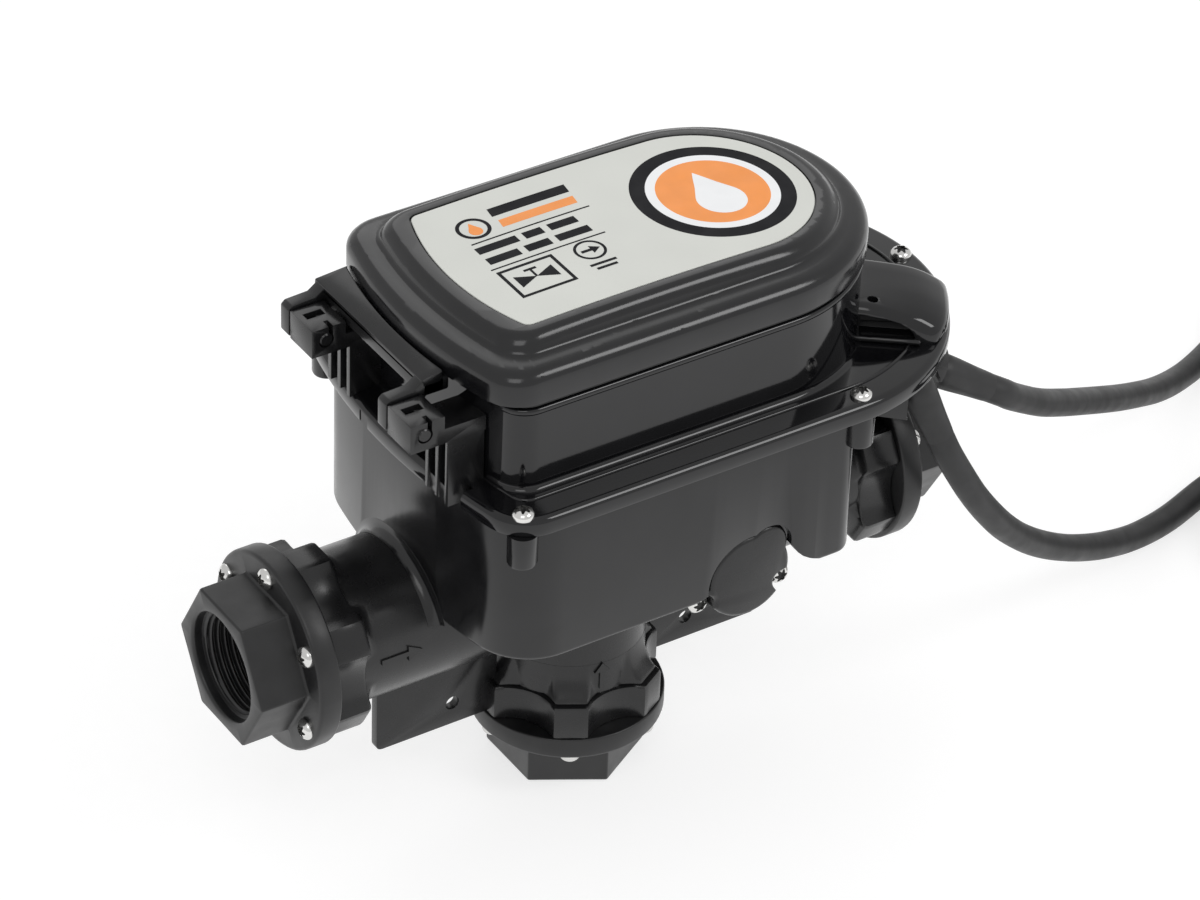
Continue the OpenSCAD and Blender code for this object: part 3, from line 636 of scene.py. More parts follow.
def end_frame(centre, leave):
    """+X along the lead as it leaves the coil, +Z up."""
    place, out = coil_end(centre, leave)
    side = Vector((0, 0, 1)).cross(out)
    return at(*place) @ standing(out, side, (0, 0, 1))


def shell_ring(x, half_y, half_z, corner):
    """A rounded rectangle standing across X."""
    out = []
    for sy, sz, start in ((1, 1, 0), (-1, 1, 90), (-1, -1, 180), (1, -1, 270)):
        line = arc(sy * (half_y - corner), sz * (half_z - corner), corner, start, start + 90, 6)
        out += [(x, y, z) for y, z in line]
    return out


def connector(length, half_y=17):
    """Moulded plug or socket body with a waist for the fingers, and its ribbed tail."""
    body = []
    for t, grow in ((0, -5), (0.02, -2.2), (0.07, -0.6), (0.16, 0), (0.3, -0.6), (0.45, -1.7), (0.6, -1.7),
            (0.75, -0.6), (0.86, 0), (0.95, 0), (0.985, -0.5), (1, -1.3)):
        body.append(shell_ring(46 + length * t, half_y + grow, SECOND_LAYER + grow * 0.55, 6.5))
    tail = [(0, 24), (4.95, 24)]
    for k in range(5):
        x = 26 + 3.8 * k
        r = 5.2 + 0.5 * k
        tail += [(r, x), (r + 0.25, x + 2.3), (r - 0.7, x + 2.6), (r - 0.7, x + 3.4)]
    tail += [(7.4, 46.5), (7.4, 48), (0, 48)]
    grips = [box((46 + length * 0.34 + 3.2 * k, s * (half_y - 2.2), -7), (46 + length * 0.34 + 1.6 + 3.2 * k,
        s * (half_y - 0.9), 7)) for k in range(4) for s in (-1, 1)]
    return [loft(body), moved(lathe(tail, 40), spin(90, "Y"))] + grips


PINS = ((-9, -1), (0, -7), (9, -1))
BLADE = ((83, 0), (98.5, 0), (100.2, 0.9), (101, 2.4), (101, 3.9), (100.2, 5.4), (98.5, 6.3), (83, 6.3))


def plug_pieces():
    place = end_frame(SUPPLY_COIL, SUPPLY_OUT)
    blades = [moved(prism([(u, v + z) for u, v in BLADE], y - 0.8, y + 0.8, "y"), place) for y, z in PINS]
    return (stand_in("supply_plug", [moved(p, place) for p in connector(38)], PLUG, sharp=40),
        stand_in("plug_pins", blades, BRASS, bevel=0.25))


def socket_piece():
    place = end_frame(PUMP_COIL, PUMP_OUT)
    body = plain(*[moved(p, place) for p in connector(42)])
    cut(body, *[moved(box((72, y - 1.1, z - 0.4), (92, y + 1.1, z + 6.7)), place) for y, z in PINS])
    return stand_in("pump_socket", [part_of(body)], PLUG, sharp=40)


def tie_pieces():
    """A strap round each coil with a bead along its lip."""
    parts = []
    for centre, angle in ((SUPPLY_COIL, 215), (PUMP_COIL, 300)):
        turn = at(centre[0], centre[1], 0) @ spin(angle, "Z")
        r0, r1, top = INNER_TURN - 4.5, OUTER_TURN + 4.5, CORD_D * 2
        outer, inner = (rounded([(r0 - g, 0.1), (r0 - g, top + g), (r1 + g, top + g), (r1 + g, 0.1)], (0, r, r, 0))
            for g, r in ((1.3, 2.6), (0.1, 1.6)))
        parts.append(moved(prism(outer + inner[::-1], -4, 4, "y"), turn))
        parts.append(moved(box((r0 + 5, -2.6, top + 1.1), (r0 + 13, 2.6, top + 1.4)), turn))
    return stand_in("cord_ties", parts, PLUG, bevel=0.3)


plug, pins = plug_pieces()
socket = socket_piece()
ties = tie_pieces()

# ---- ports

AT_MAINS = at(MAINS_X, 0, RUN_Z) @ spin(-90, "Y")
AT_OUTLET = at(OUTLET_X, 0, RUN_Z) @ spin(90, "Y")
AT_PUMP = at(0, 0, PUMP_Z) @ spin(180, "X")
SECTOR = [-0.935, -0.47, 0, 0.47, 0.935] + [5 * k for k in range(1, 12)]
PORT_ANGLES = [30 + 60 * s + a for s in range(6) for a in SECTOR]


def ray_to_circle(a, distance, bearing, r, far=False):
    """Distance along a ray at angle a to a circle set out at a bearing. None where the ray misses."""
    off = radians(a - bearing)
    under = r * r - (distance * sin(off)) ** 2
    if under < 0 or cos(off) < 0:
        return None
    return distance * cos(off) + sqrt(under) * (1 if far else -1)


def soft_least(values, soft):
    low = min(values)
    return low - soft * log(sum(exp((low - v) / soft) for v in values))


def hex_reach(a):
    off = abs(a % 60 - 30)
    if off < 0.94:
        c, t = HEX_R - 0.924, radians(off)
        return c * cos(t) + sqrt(max(0.64 - (c * sin(t)) ** 2, 0))
    return HEX_R * cos(radians(30)) / cos(radians(30 - off))


def lobe_reach(a):
    off = abs((a + 30) % 60 - 30)
    values = [LOBE_R, LOBE_FLAT / cos(radians(off))]
    scoop = ray_to_circle(a % 60, SCOOP_AT, 30, SCOOP_R)
    if scoop is not None:
        values.append(scoop)
    return soft_least(values, 0.3)


def ring_at(reach, z, angles):
    return [(*polar(reach(a), a), z) for a in angles]


def thread_depth(phase):
    """Root depth of the rounded thread form for a phase of 0 to 1."""
    p = abs((phase % 1) - 0.5) * 2
    return 1.45 * ease((p - 0.08) / 0.84)


def circle_ring(r, z, angles):
    return ring_at(lambda a: r, z, angles)


def union_part(disc_r):
    """Spigot, screwed disc, hexagon and the female thread in it."""
    top = DISC_T + HEX_LEN
    rings = [circle_ring(r, z, PORT_ANGLES) for r, z in ((12.5, -6.4), (12.8, -6.7), (19.6, -6.7), (20.1, -6.2),
        (20.1, -4.5), (18.2, -4.5), (18.2, -2.5), (20.1, -2.5), (20.1, 0.05), (disc_r - 0.6, 0.05),
        (disc_r - 0.15, 0.25), (disc_r, 0.7), (disc_r, DISC_T - 1.3), (disc_r - 0.2, DISC_T - 0.6),
        (disc_r - 0.6, DISC_T - 0.2), (disc_r - 1.3, DISC_T))]
    rings += [ring_at(lambda a: hex_reach(a) - inset, z, PORT_ANGLES) for inset,
        z in ((-0.9, DISC_T), (-0.25, DISC_T + 0.25), (0, DISC_T + 0.9), (0, top - 0.8), (0.2, top - 0.25),
        (0.75, top))]
    rings += [circle_ring(r, z, PORT_ANGLES) for r, z in ((18.4, top), (17.75, top - 0.15), (17.4, top - 0.5),
        (MOUTH_R, top - 1.1), (MOUTH_R, top - 3.3), (16.9, top - 3.5))]
    steps, low, high = 84, 4, top - 3.6  # the thread, from its mouth inwards
    for i in range(steps + 1):
        z = high + (low - high) * i / steps
        fade = ease(min((high - z) / 1.2, (z - low) / 2.5))
        mouth = 0.9 * ease((z - high + 0.7) / 0.7)
        rings.append(ring_at(lambda a: THREAD_R + thread_depth(z / THREAD_PITCH - a / 360) * fade + mouth, z,
            PORT_ANGLES))
    rings += [circle_ring(r, z, PORT_ANGLES) for r, z in ((THREAD_R, low), (12.9, low), (12.5, 3.6))]
    return loft(rings, loop=True)


def lobed_part(fillet):
    """Six-lobed flange that flows back into its tube."""
    angles = range(0, 360, 2)
    last = -LOBE_T - fillet[-1][1]
    rings = [ring_at(lambda a: lobe_reach(a) - inset, z, angles) for inset,
        z in ((0.7, 0), (0.2, -0.2), (0, -0.7), (0, -LOBE_T + 1.6), (0.45, -LOBE_T + 0.5), (1.4, -LOBE_T))]
    for out, back in fillet:
        reach = lambda a: soft_least([lobe_reach(a) - 1.9 - 0.25 * back, TUBE_R + out], 0.25)
        rings.append(ring_at(lambda a: max(TUBE_R + 0.04, reach(a)), -LOBE_T - back, angles))
    rings += [circle_ring(r, z, angles) for r, z in ((23, last), (BORE_R, last), (BORE_R, 0))]
    return loft(rings, loop=True)


SHORT_FILLET = ((4.2, 0.05), (2.6, 0.4), (1.4, 1.1), (0.6, 2.1), (0.15, 3.3), (-0.3, 4.4))
LONG_FILLET = ((6.2, 0.1), (4.9, 0.7), (3.7, 1.7), (2.6, 3.1), (1.6, 4.9), (0.8, 7), (0.25, 9.4), (-0.3, 11.5))


ALONG_RUN = at(0, 0, RUN_Z) @ spin(90, "Y")


def along_x(r, x0, x1):
    return moved(lathe([(r, x0), (r, x1)], 96), ALONG_RUN)


def along_y(r, x, z, y0, y1, steps=64):
    return prism(circle(x, z, r, steps), y0, y1, "y")


def saddle():
    """Rolled fillet between the pump tube and the run tube, which have the same radius."""
    f, r = 4, TUBE_R
    big = r + f
    rings = []
    for k in range(144):
        t = TAU * k / 144
        c, s = cos(t), sin(t)
        centre = Vector((big * c, big * s, RUN_Z - big * abs(c)))
        a = Vector((r * c, r * s, centre.z)) - centre
        b = Vector((big * c, r * s, RUN_Z - r * abs(c))) - centre
        ring = []
        for i in range(9):
            w = i / 8
            way = a * (1 - w) + b * w
            ring.append(centre + way * (f / max(way.length, 1e-6)) if way.length > 1e-4 else centre + a)
        corner = Vector(((r - 1.2) * c, (r - 1.2) * s, RUN_Z - (r - 1.2) * abs(c)))
        rings.append(ring + [corner])
    return loft(rings, loop=True)


def star_outline(r, swell):
    return [polar(r + swell * cos(6 * TAU * k / 48), 7.5 * k) for k in range(48)]


def pan_head(r=3.4, h=2.4):
    """Domed head with a six-lobed socket, standing on z = 0."""
    head = plain(lathe([(0, -0.4), (r - 0.1, -0.4), (r, 0), (r, 0.7), (r - 0.25, 1.25), (r - 0.8, 1.85),
        (r - 1.6, 2.25), (r - 1.9, h), (0, h)], 40))
    return part_of(cut(head, prism(star_outline(1.85, 0.45), h - 2.1, h + 1),
        prism(circle(0, 0, 0.9, 24), h - 2.6, h + 1)))


HEAD = pan_head()


def around(place, z):
    """Frames of a port's six screw heads, each turned differently."""
    return [place @ spin(60 * k, "Z") @ at(SCREW_PCD_R, 0, z) @ spin(23 * k, "Z") for k in range(6)]


def screws(name, places, shank):
    """Screws in the given frames, and near-black plates low in their sockets: painted shade for the shadowed socket
    bottoms.
    """
    rod = lathe([(1.75, -shank), (1.75, -0.3)], 24)
    # Dark star plates low in each socket: painted shade that stands for the shadow at the socket bottoms.
    shadow = prism(star_outline(1.8, 0.42), 0.9, 1.25)
    stand_in(name, [moved(p, place) for place in places for p in (HEAD, rod)], STEEL, sharp=45)
    mesh(name[:-1] + "_painted_socket_shade", [moved(shadow, place) for place in places], PAINTED_SOCKET_SHADE)


port_screws = []
for port, place, disc_r in (("mains", AT_MAINS, DISC_R), ("outlet", AT_OUTLET, DISC_R),
        ("pump", AT_PUMP, DISC_R - 1)):
    stand_in(port + "_union", [moved(union_part(disc_r), place)], UNION, sharp=50)
    port_screws += around(place, DISC_T)
screws("union_screws", port_screws, 15)

# ---- body

run_tube = plain(moved(turned([(BORE_R, MAINS_X), (TUBE_R, MAINS_X), (TUBE_R, OUTLET_X), (BORE_R, OUTLET_X)], 120),
    ALONG_RUN))
cut(run_tube, prism(circle(0, 0, BORE_R, 96), 30, RUN_Z), prism(circle(0, 0, 5), RUN_Z, 120))
pump_tube = plain(turned([(BORE_R, PUMP_Z), (TUBE_R, PUMP_Z), (TUBE_R, RUN_Z), (BORE_R, RUN_Z)], 120))
cut(pump_tube, along_x(BORE_R, -60, 60))
branch = plain(along_y(12, *BRANCH, -51, 0))
cut(branch, along_x(BORE_R, -60, 60), along_y(9, *BRANCH, -56, -26))
neck = plain(lathe([(5, 95), (9, 95), (9, 112), (7.2, 112), (7.2, 109), (5, 109)], 64))


def branch_flange():
    """Flange that the side cap is screwed to, with its two screw lugs."""
    (x0, z0), (x1, z1) = CAP_SCREWS
    outline = (arc(x1, z1, 3.8, -90, 40, 8) + arc(*BRANCH, 13.5, 0, 180, 32) + arc(x0, z0, 3.8, 140, 270, 8))
    return eased(cut(plain(prism(outline, CAP_Y, CAP_Y + 5, "y")), along_y(9, *BRANCH, -56, -40)), 0.6)


def web_plate(side):
    """One half of the web under the run, with its hole and a softened outer corner."""
    corners = [(WEB_IN, WEB_LOW), (WEB_OUT, WEB_LOW), (WEB_OUT, WEB_HIGH), (WEB_IN, WEB_HIGH)]
    line = [(side * x, z) for x, z in rounded(corners, (0, 2, 0.5, 0))]
    plate = plain(prism(line, -WEB_T / 2, WEB_T / 2, "y"))
    cut(plate, along_y(WEB_HOLE_R, side * WEB_HOLE[0], WEB_HOLE[1], -4, 4, 48), prism(circle(0, 0, 22, 64), 20, 60))
    return eased(plate, 0.5)


def web_root(side):
    """Fillets along the web where it runs into the tube over it."""
    parts = []
    for s in (-1, 1):
        section = []
        for k in range(7):
            u, v = polar(3, 90 * k / 6)
            section.append((s * (4.65 - u), RUN_Z - TUBE_R - 2.6 + v))
        section += [(s * 5.6, RUN_Z - TUBE_R + 1.8), (s * 1.5, RUN_Z - TUBE_R + 1.8)]
        parts.append(prism(section, *sorted((side * TUBE_R, side * WEB_OUT)), "x"))
    return parts


def raised(outline, angle, along, place):
    """A low raised mark on a tube: u runs along the tube and v round it."""
    turn = place @ spin(angle, "Z") @ Matrix(((0, 0, 1, 0), (0, 1, 0, 0), (1, 0, 0, along), (0, 0, 0, 1)))
    return moved(prism(outline, TUBE_R - 0.9, TUBE_R + 0.6), turn)


ARROW = [(-7, -0.8), (2.2, -0.8), (2.2, -2.6), (7, 0), (2.2, 2.6), (2.2, 0.8), (-7, 0.8)]
body_parts = [part_of(o) for o in (run_tube, pump_tube, branch, neck)] + [branch_flange()]
body_parts += [moved(lobed_part(SHORT_FILLET), AT_MAINS), moved(lobed_part(SHORT_FILLET), AT_OUTLET),
    moved(lobed_part(LONG_FILLET), AT_PUMP), saddle()]
for sx in (-1, 1):
    leg = plain(box((sx * 36 - 4, -16, 94), (sx * 36 + 4, 16, 108)))
    body_parts.append(part_of(cut(leg, along_x(22, -60, 60))))
body_parts += [raised(ARROW, -94, -75, ALONG_RUN), raised(ARROW, -94, 80, ALONG_RUN),
    raised([(u * 0.7, v) for u, v in ARROW], -97, 42.5, Matrix())]
for side in (-1, 1):
    body_parts += [web_plate(side)] + web_root(side)
stand_in("valve_body", body_parts, BODY, sharp=36)


def cap_reach(a):
    """Outline of the side cap about the branch's axis: a disc with a bump and two notches for the screws."""
    values = [-CAP_R]
    bulge = ray_to_circle(a, hypot(*CAP_BUMP), degrees(atan2(CAP_BUMP[1], CAP_BUMP[0])), CAP_BUMP_R, far=True)
    if bulge is not None:
        values.append(-bulge)
    limits = [-soft_least(values, 0.35)]
    for x, z in CAP_SCREWS:
        dx, dz = x - BRANCH[0], z - BRANCH[1]
        near = ray_to_circle(a, hypot(dx, dz), degrees(atan2(dz, dx)), CAP_NOTCH_R)
        if near is not None:
            limits.append(near)
    return soft_least(limits, 0.25)


def side_cap_part():
    angles = [2.5 * k for k in range(144)]
    rings = []
    for inset, y in ((0.4, -52), (0, -52.4), (0, -55), (0.25, -55.8), (0.8, -56.35), (1.6, -56.6)):
        line = [polar(cap_reach(a) - inset, a, *BRANCH) for a in angles]
        rings.append([(x, y, z) for x, z in line])
    plug_face = turned([(0.01, -52.2), (8.8, -52.2), (8.8, -48.3), (8.4, -48), (0.01, -48)], 60)
    swing = Matrix(((1, 0, 0, BRANCH[0]), (0, 0, 1, 0), (0, 1, 0, BRANCH[1]), (0, 0, 0, 1)))
    return [loft(rings), moved(plug_face, swing)]


stand_in("side_cap", side_cap_part(), BODY, sharp=40)
cap_frames = [at(x, CAP_Y, z) @ spin(90, "X") for x, z in CAP_SCREWS]
screws("side_cap_screws", cap_frames, 4.8)

# ---- lower housing

TUB_WALL_Y = (-60, -53.5)
TUB_EDGE = [(11.5, 80), (60, 80), (56, 86.6), (52.6, 87.4), (49.3, 88.9), (46.6, 90.7), (44.6, 92.8), (42.8, 95.4),
    (41, 98.2), (36, 98.2), (36, 88.5), (11.5, 88.5)]
tub = plain(loft(stack(tub_plan, [(2.5, 110.5), (2.5, TUB_TOP), (0.3, TUB_TOP), (0, 138.2), (0, 88.2), (0.2, 87.3),
    (0.8, 86.7), (1.5, 86.5), (2.2, 86.5), (2.5, 86.9), (2.5, 108)])))
cut(tub, along_x(TUBE_R + 0.3, -80, 80), prism(circle(0, 0, 9.3), 107, 112), along_y(15.3, *BRANCH, *TUB_WALL_Y),
    along_y(8.3, BRANCH[0] + CAP_BUMP[0], BRANCH[1] + CAP_BUMP[1], *TUB_WALL_Y), prism(TUB_EDGE, *TUB_WALL_Y, "y"),
    along_y(4.4, *CAP_SCREWS[0], *TUB_WALL_Y))


def collar_part(wall_x, way, bow):
    """Rounded collar where the run tube passes through an end wall, above the housing's lower edge."""
    profile = ((28.4, 1), (27.6, -0.05), (26.5, -0.22), (25.5, -0.7), (24.7, -1.5), (24.25, -2.5), (24.08, -3.4),
        (24.08, 1.5))
    rings = []
    for k in range(57):
        t = radians(18.5 + 143 * k / 56)
        rings.append([(wall_x - way * d + bow(r * cos(t)), r * cos(t), RUN_Z + r * sin(t)) for r, d in profile])
    return loft(rings)


tub_parts = [eased(tub, 0.45, 2), collar_part(-63, -1, lambda y: 215 - sqrt(215 * 215 - y * y)),
    collar_part(66, 1, lambda y: 0)]
for x, y in FLANGE_SCREWS[:4]:
    tub_parts.append(moved(lathe([(3.7, 126), (4.3, 126.3), (4.6, 127), (4.6, 137)], 48), at(x, y, 0)))
stand_in("lower_housing", tub_parts, TUB_SATIN, sharp=34)

# ---- cover frame


def cover_part():
    """Flange, cover wall and the skin inside them as one closed loop of rings."""
    rings = stack(flange_plan, [(2.5, 137), (2.5, 140)])
    rings += stack(wall_plan, [(2.5, 140), (2.5, 171.4), (2.2, 171.9), (1.7, 172), (0.5, 172), (-0.1, 171.8),
        (-0.45, 171.3), (-0.5, 170.7), (-0.35, 170.1), (0, 169.7), (0, 145.2), (-0.15, 144.3), (-0.6, 143.5),
        (-1.3, 143.1), (-2.2, 143)])
    rings += stack(flange_plan, [(2.4, 143), (1.5, 142.8), (0.75, 142.3), (0.2, 141.6), (0, 140.7), (0, 137.5),
        (0.15, 137.15), (0.5, 137), (2, 137)])
    return loft(rings, loop=True)


def bead_part():
    """Half-round bead that runs round the top of the flange."""
    crest = [(9.9 + 0.6 * cos(pi * k / 8), 142.95 + 0.75 * sin(pi * k / 8)) for k in range(9)]
    return loft(stack(flange_plan, crest + [(9.3, 142), (10.5, 142)]), loop=True)


def ledge_part():
    rings = stack(wall_plan, [(2, 149.5), (2, 152), (5.5, 152), (5.5, 150.2), (4.8, 149.5)])
    return loft(rings, loop=True)


def hump_height(r):
    for (r0, h0), (r1, h1) in zip(HUMP, HUMP[1:]):
        if r <= r1:
            return h0 + (h1 - h0) * (r - r0) / (r1 - r0)
    return HUMP[-1][1]


HUMP = ((18, 13.6), (30, 13.4), (40, 12.9), (47, 12.2), (50, 11.6), (53, 10.6), (56, 9.2), (58.5, 7.6), (59.6, 6.4),
    (60.2, 5), (60.4, 3))
HUMP_AT = at(63, 0, 142) @ spin(-38, "Z")


def hump_parts():
    """Raised cable duct on the flange; its outer end follows the flange's round end."""
    rings = []
    for r in (18, 24, 30, 36, 42, 46, 49, 51, 53, 55, 57, 58.5, 59.6, 60.2, 60.4):
        h = hump_height(r)
        c = min(3, h * 0.45)
        line = [(-14, 0), (-14, h - c)] + [(-14 + c - c * cos(t), h - c + c * sin(t))
            for t in (0.39, 0.79, 1.18)] + [(-14 + c, h)]
        line += [(y, h) for y in (-7, -3, 0, 3, 7)] + [(-y, z) for y, z in line[::-1]]
        bend = ease((r - 34) / 22)
        ring = []
        for y, z in line:
            corner = max(0, abs(y) - 8.5)
            trim = 5.5 - sqrt(max(5.5 ** 2 - corner ** 2, 0)) if y < 0 else 0
            fall = 0.16 * max(0, -y - 2) * (z / h) * ease((r - 36) / 14)
            ring.append((r - bend * (r - sqrt(r * r - y * y) + trim), y, z - fall))
        rings.append(ring)
    hump = plain(loft(rings))
    arch = [(33.5, 3), (33.5, 9.6), (39, 9.4), (43, 8.9), (46, 8), (48.4, 6.6), (50, 4.9), (50.8, 3)]
    cut(hump, prism(arch, -20, -9, "y"), moved(lathe([(1.5, 0), (1.9, 4)], 32), at(37, -9, 10.9)))
    lip = plain(box((32, -15.3, 1.2), (52.5, -12, 3.1)))
    return [moved(eased(hump, 0.5), HUMP_AT), moved(eased(lip, 0.8), HUMP_AT)]


def hinge_block_part(y0, low):
    y1 = y0 + BLOCK_W
    block = plain(box((-79.5, y0, 160.5), (-68, y1, 170)))
    ribs = [box((-66.6, y, low), (-54.5, y + 1.8, 161)) for y in (y0, y0 + 5.4, y1 - 1.8)]
    ribs += [box((-66, y0 + 0.4, low), (-55.5, y1 - 0.4, low + 5.5))] if low < 140 else []
    join(block, box((-70, y0, 160.5), (-54, y1, 165.6)), *ribs)
    cut(block, along_y(PIN_R + 0.3, PIN.x, PIN.z, y0 - 2, y1 + 2, 48), box((PIN.x + 0.7, y0 - 1, PIN.z),
        (PIN.x + 2.2, y0 + 3.4, 171.5)), box((PIN.x - 2.8, y0 + 6.5, 168), (PIN.x + 3.4, y0 + 9.5, 172)))
    return eased(block, 0.3, 2)


def pin_part(y0):
    low, high = y0 - 0.05, y0 + BLOCK_W + 6.4
    profile = [(0, low), (PIN_R - 0.4, low), (PIN_R, low + 0.4), (PIN_R, high - 0.5), (PIN_R - 0.5, high), (0, high)]
    return moved(lathe(profile, 48), at(PIN.x, 0, PIN.z) @ spin(-90, "X"))


stand_in("hinge_pins", [pin_part(y) for y in BLOCKS_Y], HINGE, sharp=40)
cover = plain(cover_part())
cut(cover, box((-72, -37.6, 136), (-58.6, -21.9, 144.5)), box((-72, -50.5, 135), (-62.8, -43.5, 141)),
    box((-72, 10.5, 135), (-66.2, 15.5, 141.2)))
bead = plain(bead_part())
cut(bead, box((-72, -37.6, 136), (-56, -21.9, 146)))
stand_in("cover_frame", [part_of(cover), part_of(bead), ledge_part()], GLOSS, sharp=40)
mesh("cable_hump", hump_parts(), GLOSS, sharp=60)
mesh("hinge_blocks", [hinge_block_part(y, low) for y, low in zip(BLOCKS_Y, (137.4, 142.2))], HINGE,
    slot="gloss_black", sharp=34)
cover_frames = [at(x, y, FLANGE_TOP) @ Matrix.Rotation(0.4 + 0.3 * x, 4, "Z") for x, y in FLANGE_SCREWS]
screws("cover_screws", cover_frames, 12)

# ---- lid


def crowned(obj):
    """Cuts the mesh in strips across X and lowers its upper part by the lid's crown."""
    made = bmesh.new()
    made.from_mesh(obj.data)
    for k in range(-16, 24):
        x = (k * 4 + 0.37) * MM
        geometry = made.verts[:] + made.edges[:] + made.faces[:]
        bmesh.ops.bisect_plane(made, geom=geometry, plane_co=(x, 0, 0), plane_no=(1, 0, 0), dist=1e-7)
    for v in made.verts:
        if v.co.z > CROWN_Z * MM:
            v.co.z -= lid_crown(v.co.x / MM) * MM * min(1, (v.co.z / MM - CROWN_Z) / 2.5)
    made.to_mesh(obj.data)
    made.free()
    obj.data.shade_smooth()
    obj.data.set_sharp_from_angle(angle=radians(38))
    return obj


def lid_part():
    rings = stack(lid_plan, [(12.5, 187.2), (12.5, 180.5)])
    rings += stack(wall_plan, [(2.8, 180.5), (2.8, 174.4), (2.4, 174)])
    rings += stack(lid_plan, [(0.5, 174), (0.1, 174.15), (0, 174.6), (0, 180), (0.15, 181.2), (0.6, 182.3),
        (1.3, 183.25), (2.3, 184.05), (3.5, 184.5), (5.5, 184.72), (7.4, 184.95), (8.2, 185.25), (8.75, 185.8),
        (9.1, 186.6), (9.35, 187.5), (9.75, 188.7), (10.35, 189.7), (11.15, 190.5), (12.1, 191), (13.2, 191.2)])
    rings += stack(label_plan, [(-0.75, 191.2), (-0.45, 191.1), (-0.35, 190.8), (-0.3, 190.3)])
    return loft(rings)


lid = stand_in("lid", [lid_part()], LID_GLOSS, body="lid_body", sharp=38)
mesh("lid_ribs", [box((x - 0.8, -33, 184), (x + 0.8, 33, 187.5)) for x in (-24, 2, 28)]
    + [box((-46, y - 0.8, 184.8), (66 - abs(y) / 2, y + 0.8, 187.5)) for y in (-18, 0, 18)], LID_GLOSS,
    body="lid_body", bevel=0.25, segments=2)
label = stand_in("label", [loft(stack(label_plan, [(0.1, 190.35), (0, 190.5), (0, 190.95), (0.15, 191.1)]))], LABEL,
    body="lid_body")
crowned(lid)
crowned(label)


def printed(name, outlines, material, level=1):
    """Flat ink on the label, a little higher for each level."""
    parts = [prism(outline, PRINT_Z, PRINT_Z + 0.2 + PRINT_STEP * level) for outline in outlines]
    crowned(mesh(name, parts, material, body="lid_body"))


def annulus(name, cx, cy, r1, r0, material):
    top = PRINT_Z + 0.2 + PRINT_STEP
    part = turned([(r0, PRINT_Z), (r1, PRINT_Z), (r1, top), (r0, top)], 96)
    crowned(mesh(name, [moved(part, at(cx, cy, 0))], material, body="lid_body"))


EMBLEM = (46.4, -0.4)


def drop_outline(cx, cy, size):
    """A water drop with its tip towards the far side."""
    round_part = [polar(0.6 * size, a, cx, cy - 0.25 * size) for a in range(150, 391, 8)]
    flanks = [(0.30, 0.42), (0.12, 0.78)]
    return (round_part + [(cx + u * size, cy + v * size) for u, v in flanks] + [(cx, cy + size)]
        + [(cx - u * size, cy + v * size) for u, v in flanks[::-1]])


def bar_outline(x0, y0, x1, y1, lean=0):
    return [(x0, y0), (x1, y0), (x1 + lean, y1), (x0 + lean, y1)]


def words(y, height, lengths, x=-32, gap=2.2):
    """Plain blocks in place of words on one line."""
    out = []
    for length in lengths:
        out.append(bar_outline(x, y, x + length, y + height))
        x += length + gap
    return out


annulus("emblem_ring", *EMBLEM, 25.2, 20.4, INK)
annulus("emblem_gap", *EMBLEM, 20.4, 17.4, WHITE)
printed("emblem_disc", [circle(*EMBLEM, 17.4, 96)], ORANGE)
printed("emblem_drop", [drop_outline(EMBLEM[0], EMBLEM[1] - 1.5, 13)], WHITE, 2)
annulus("badge_ring", -26.5, 17.6, 5.4, 4.2, INK)
printed("badge_drop", [drop_outline(-26.5, 17, 3.6)], ORANGE)
printed("heading", [bar_outline(-18.5, 20, 8.5, 24.2, 0.6)], INK)
printed("accent_bar", [bar_outline(-18.5, 13.8, 7.5, 17.6, 0.6)], ORANGE)
printed("rules", [bar_outline(-31.5, 10.2, 9.5, 10.8), bar_outline(-33.5, -4, 6, -3.4)], INK)
printed("text_lines", words(4.9, 3.4, (14, 6.5, 9.5)) + words(-1.2, 3.4, (11, 8.5, 11.5)), INK)
frame_box = [bar_outline(-33, -20.6, -14, -19.5), bar_outline(-33, -6.6, -14, -5.5),
    bar_outline(-33, -19.5, -31.9, -6.6), bar_outline(-15.1, -19.5, -14, -6.6)]
bow_tie = [[(-30, -16), (-23.5, -13), (-30, -10)], [(-17, -16), (-17, -10), (-23.5, -13)],
    bar_outline(-23.9, -13, -23.1, -9), bar_outline(-25.6, -9.4, -21.4, -8.4)]
printed("valve_symbol", frame_box + bow_tie, INK)
annulus("flow_ring", -3, -9.5, 5, 4.1, INK)
printed("flow_arrow", [[(-6, -10.1), (-2.6, -10.1), (-2.6, -11.5), (0.4, -9.5), (-2.6, -7.5), (-2.6, -8.9),
    (-6, -8.9)]] + words(-17.4, 1.1, (9,), -7.5) + words(-19.6, 1.1, (7,), -6.5), INK)

# ---- hinge bar


def hook_part(y0):
    y1 = y0 + 4.7
    outline = [(PIN.x - 5.2, PIN.z - 4.4), (PIN.x - 4.4, PIN.z - 5.2), (PIN.x + 3.6, PIN.z - 5.2),
        (PIN.x + 5, PIN.z - 3.8), (-66, 168.4), (-60, 168.6), (-60, 173.4), (-67.4, 173.7), (-70.6, 171.4),
        (-78.4, 171), (PIN.x - 5.2, 169.8)]
    hook = plain(prism(outline, y0, y1, "y"))
    cut(hook, along_y(PIN_R + 0.08, PIN.x, PIN.z, y0 - 1, y1 + 1, 40))
    return eased(hook, 0.5, 2)


def bar_top():
    """The bar's upper plate: a straight outer edge, and an inner edge that follows the lid's end."""
    rings = []
    for k in range(25):
        t = k / 24
        y = -21.5 + 61.7 * t
        x1 = 88 - sqrt(150.55 ** 2 - y * y)
        skew = -1 + 3 * t
        rings.append([(-67.5, y, 171.6), (-67.5, y, 174), (x1, y - skew * t if t > 0.96 else y - (0.9
            if k == 0 else 0), 176.4), (x1, y, 171.6)])
    return loft(rings)


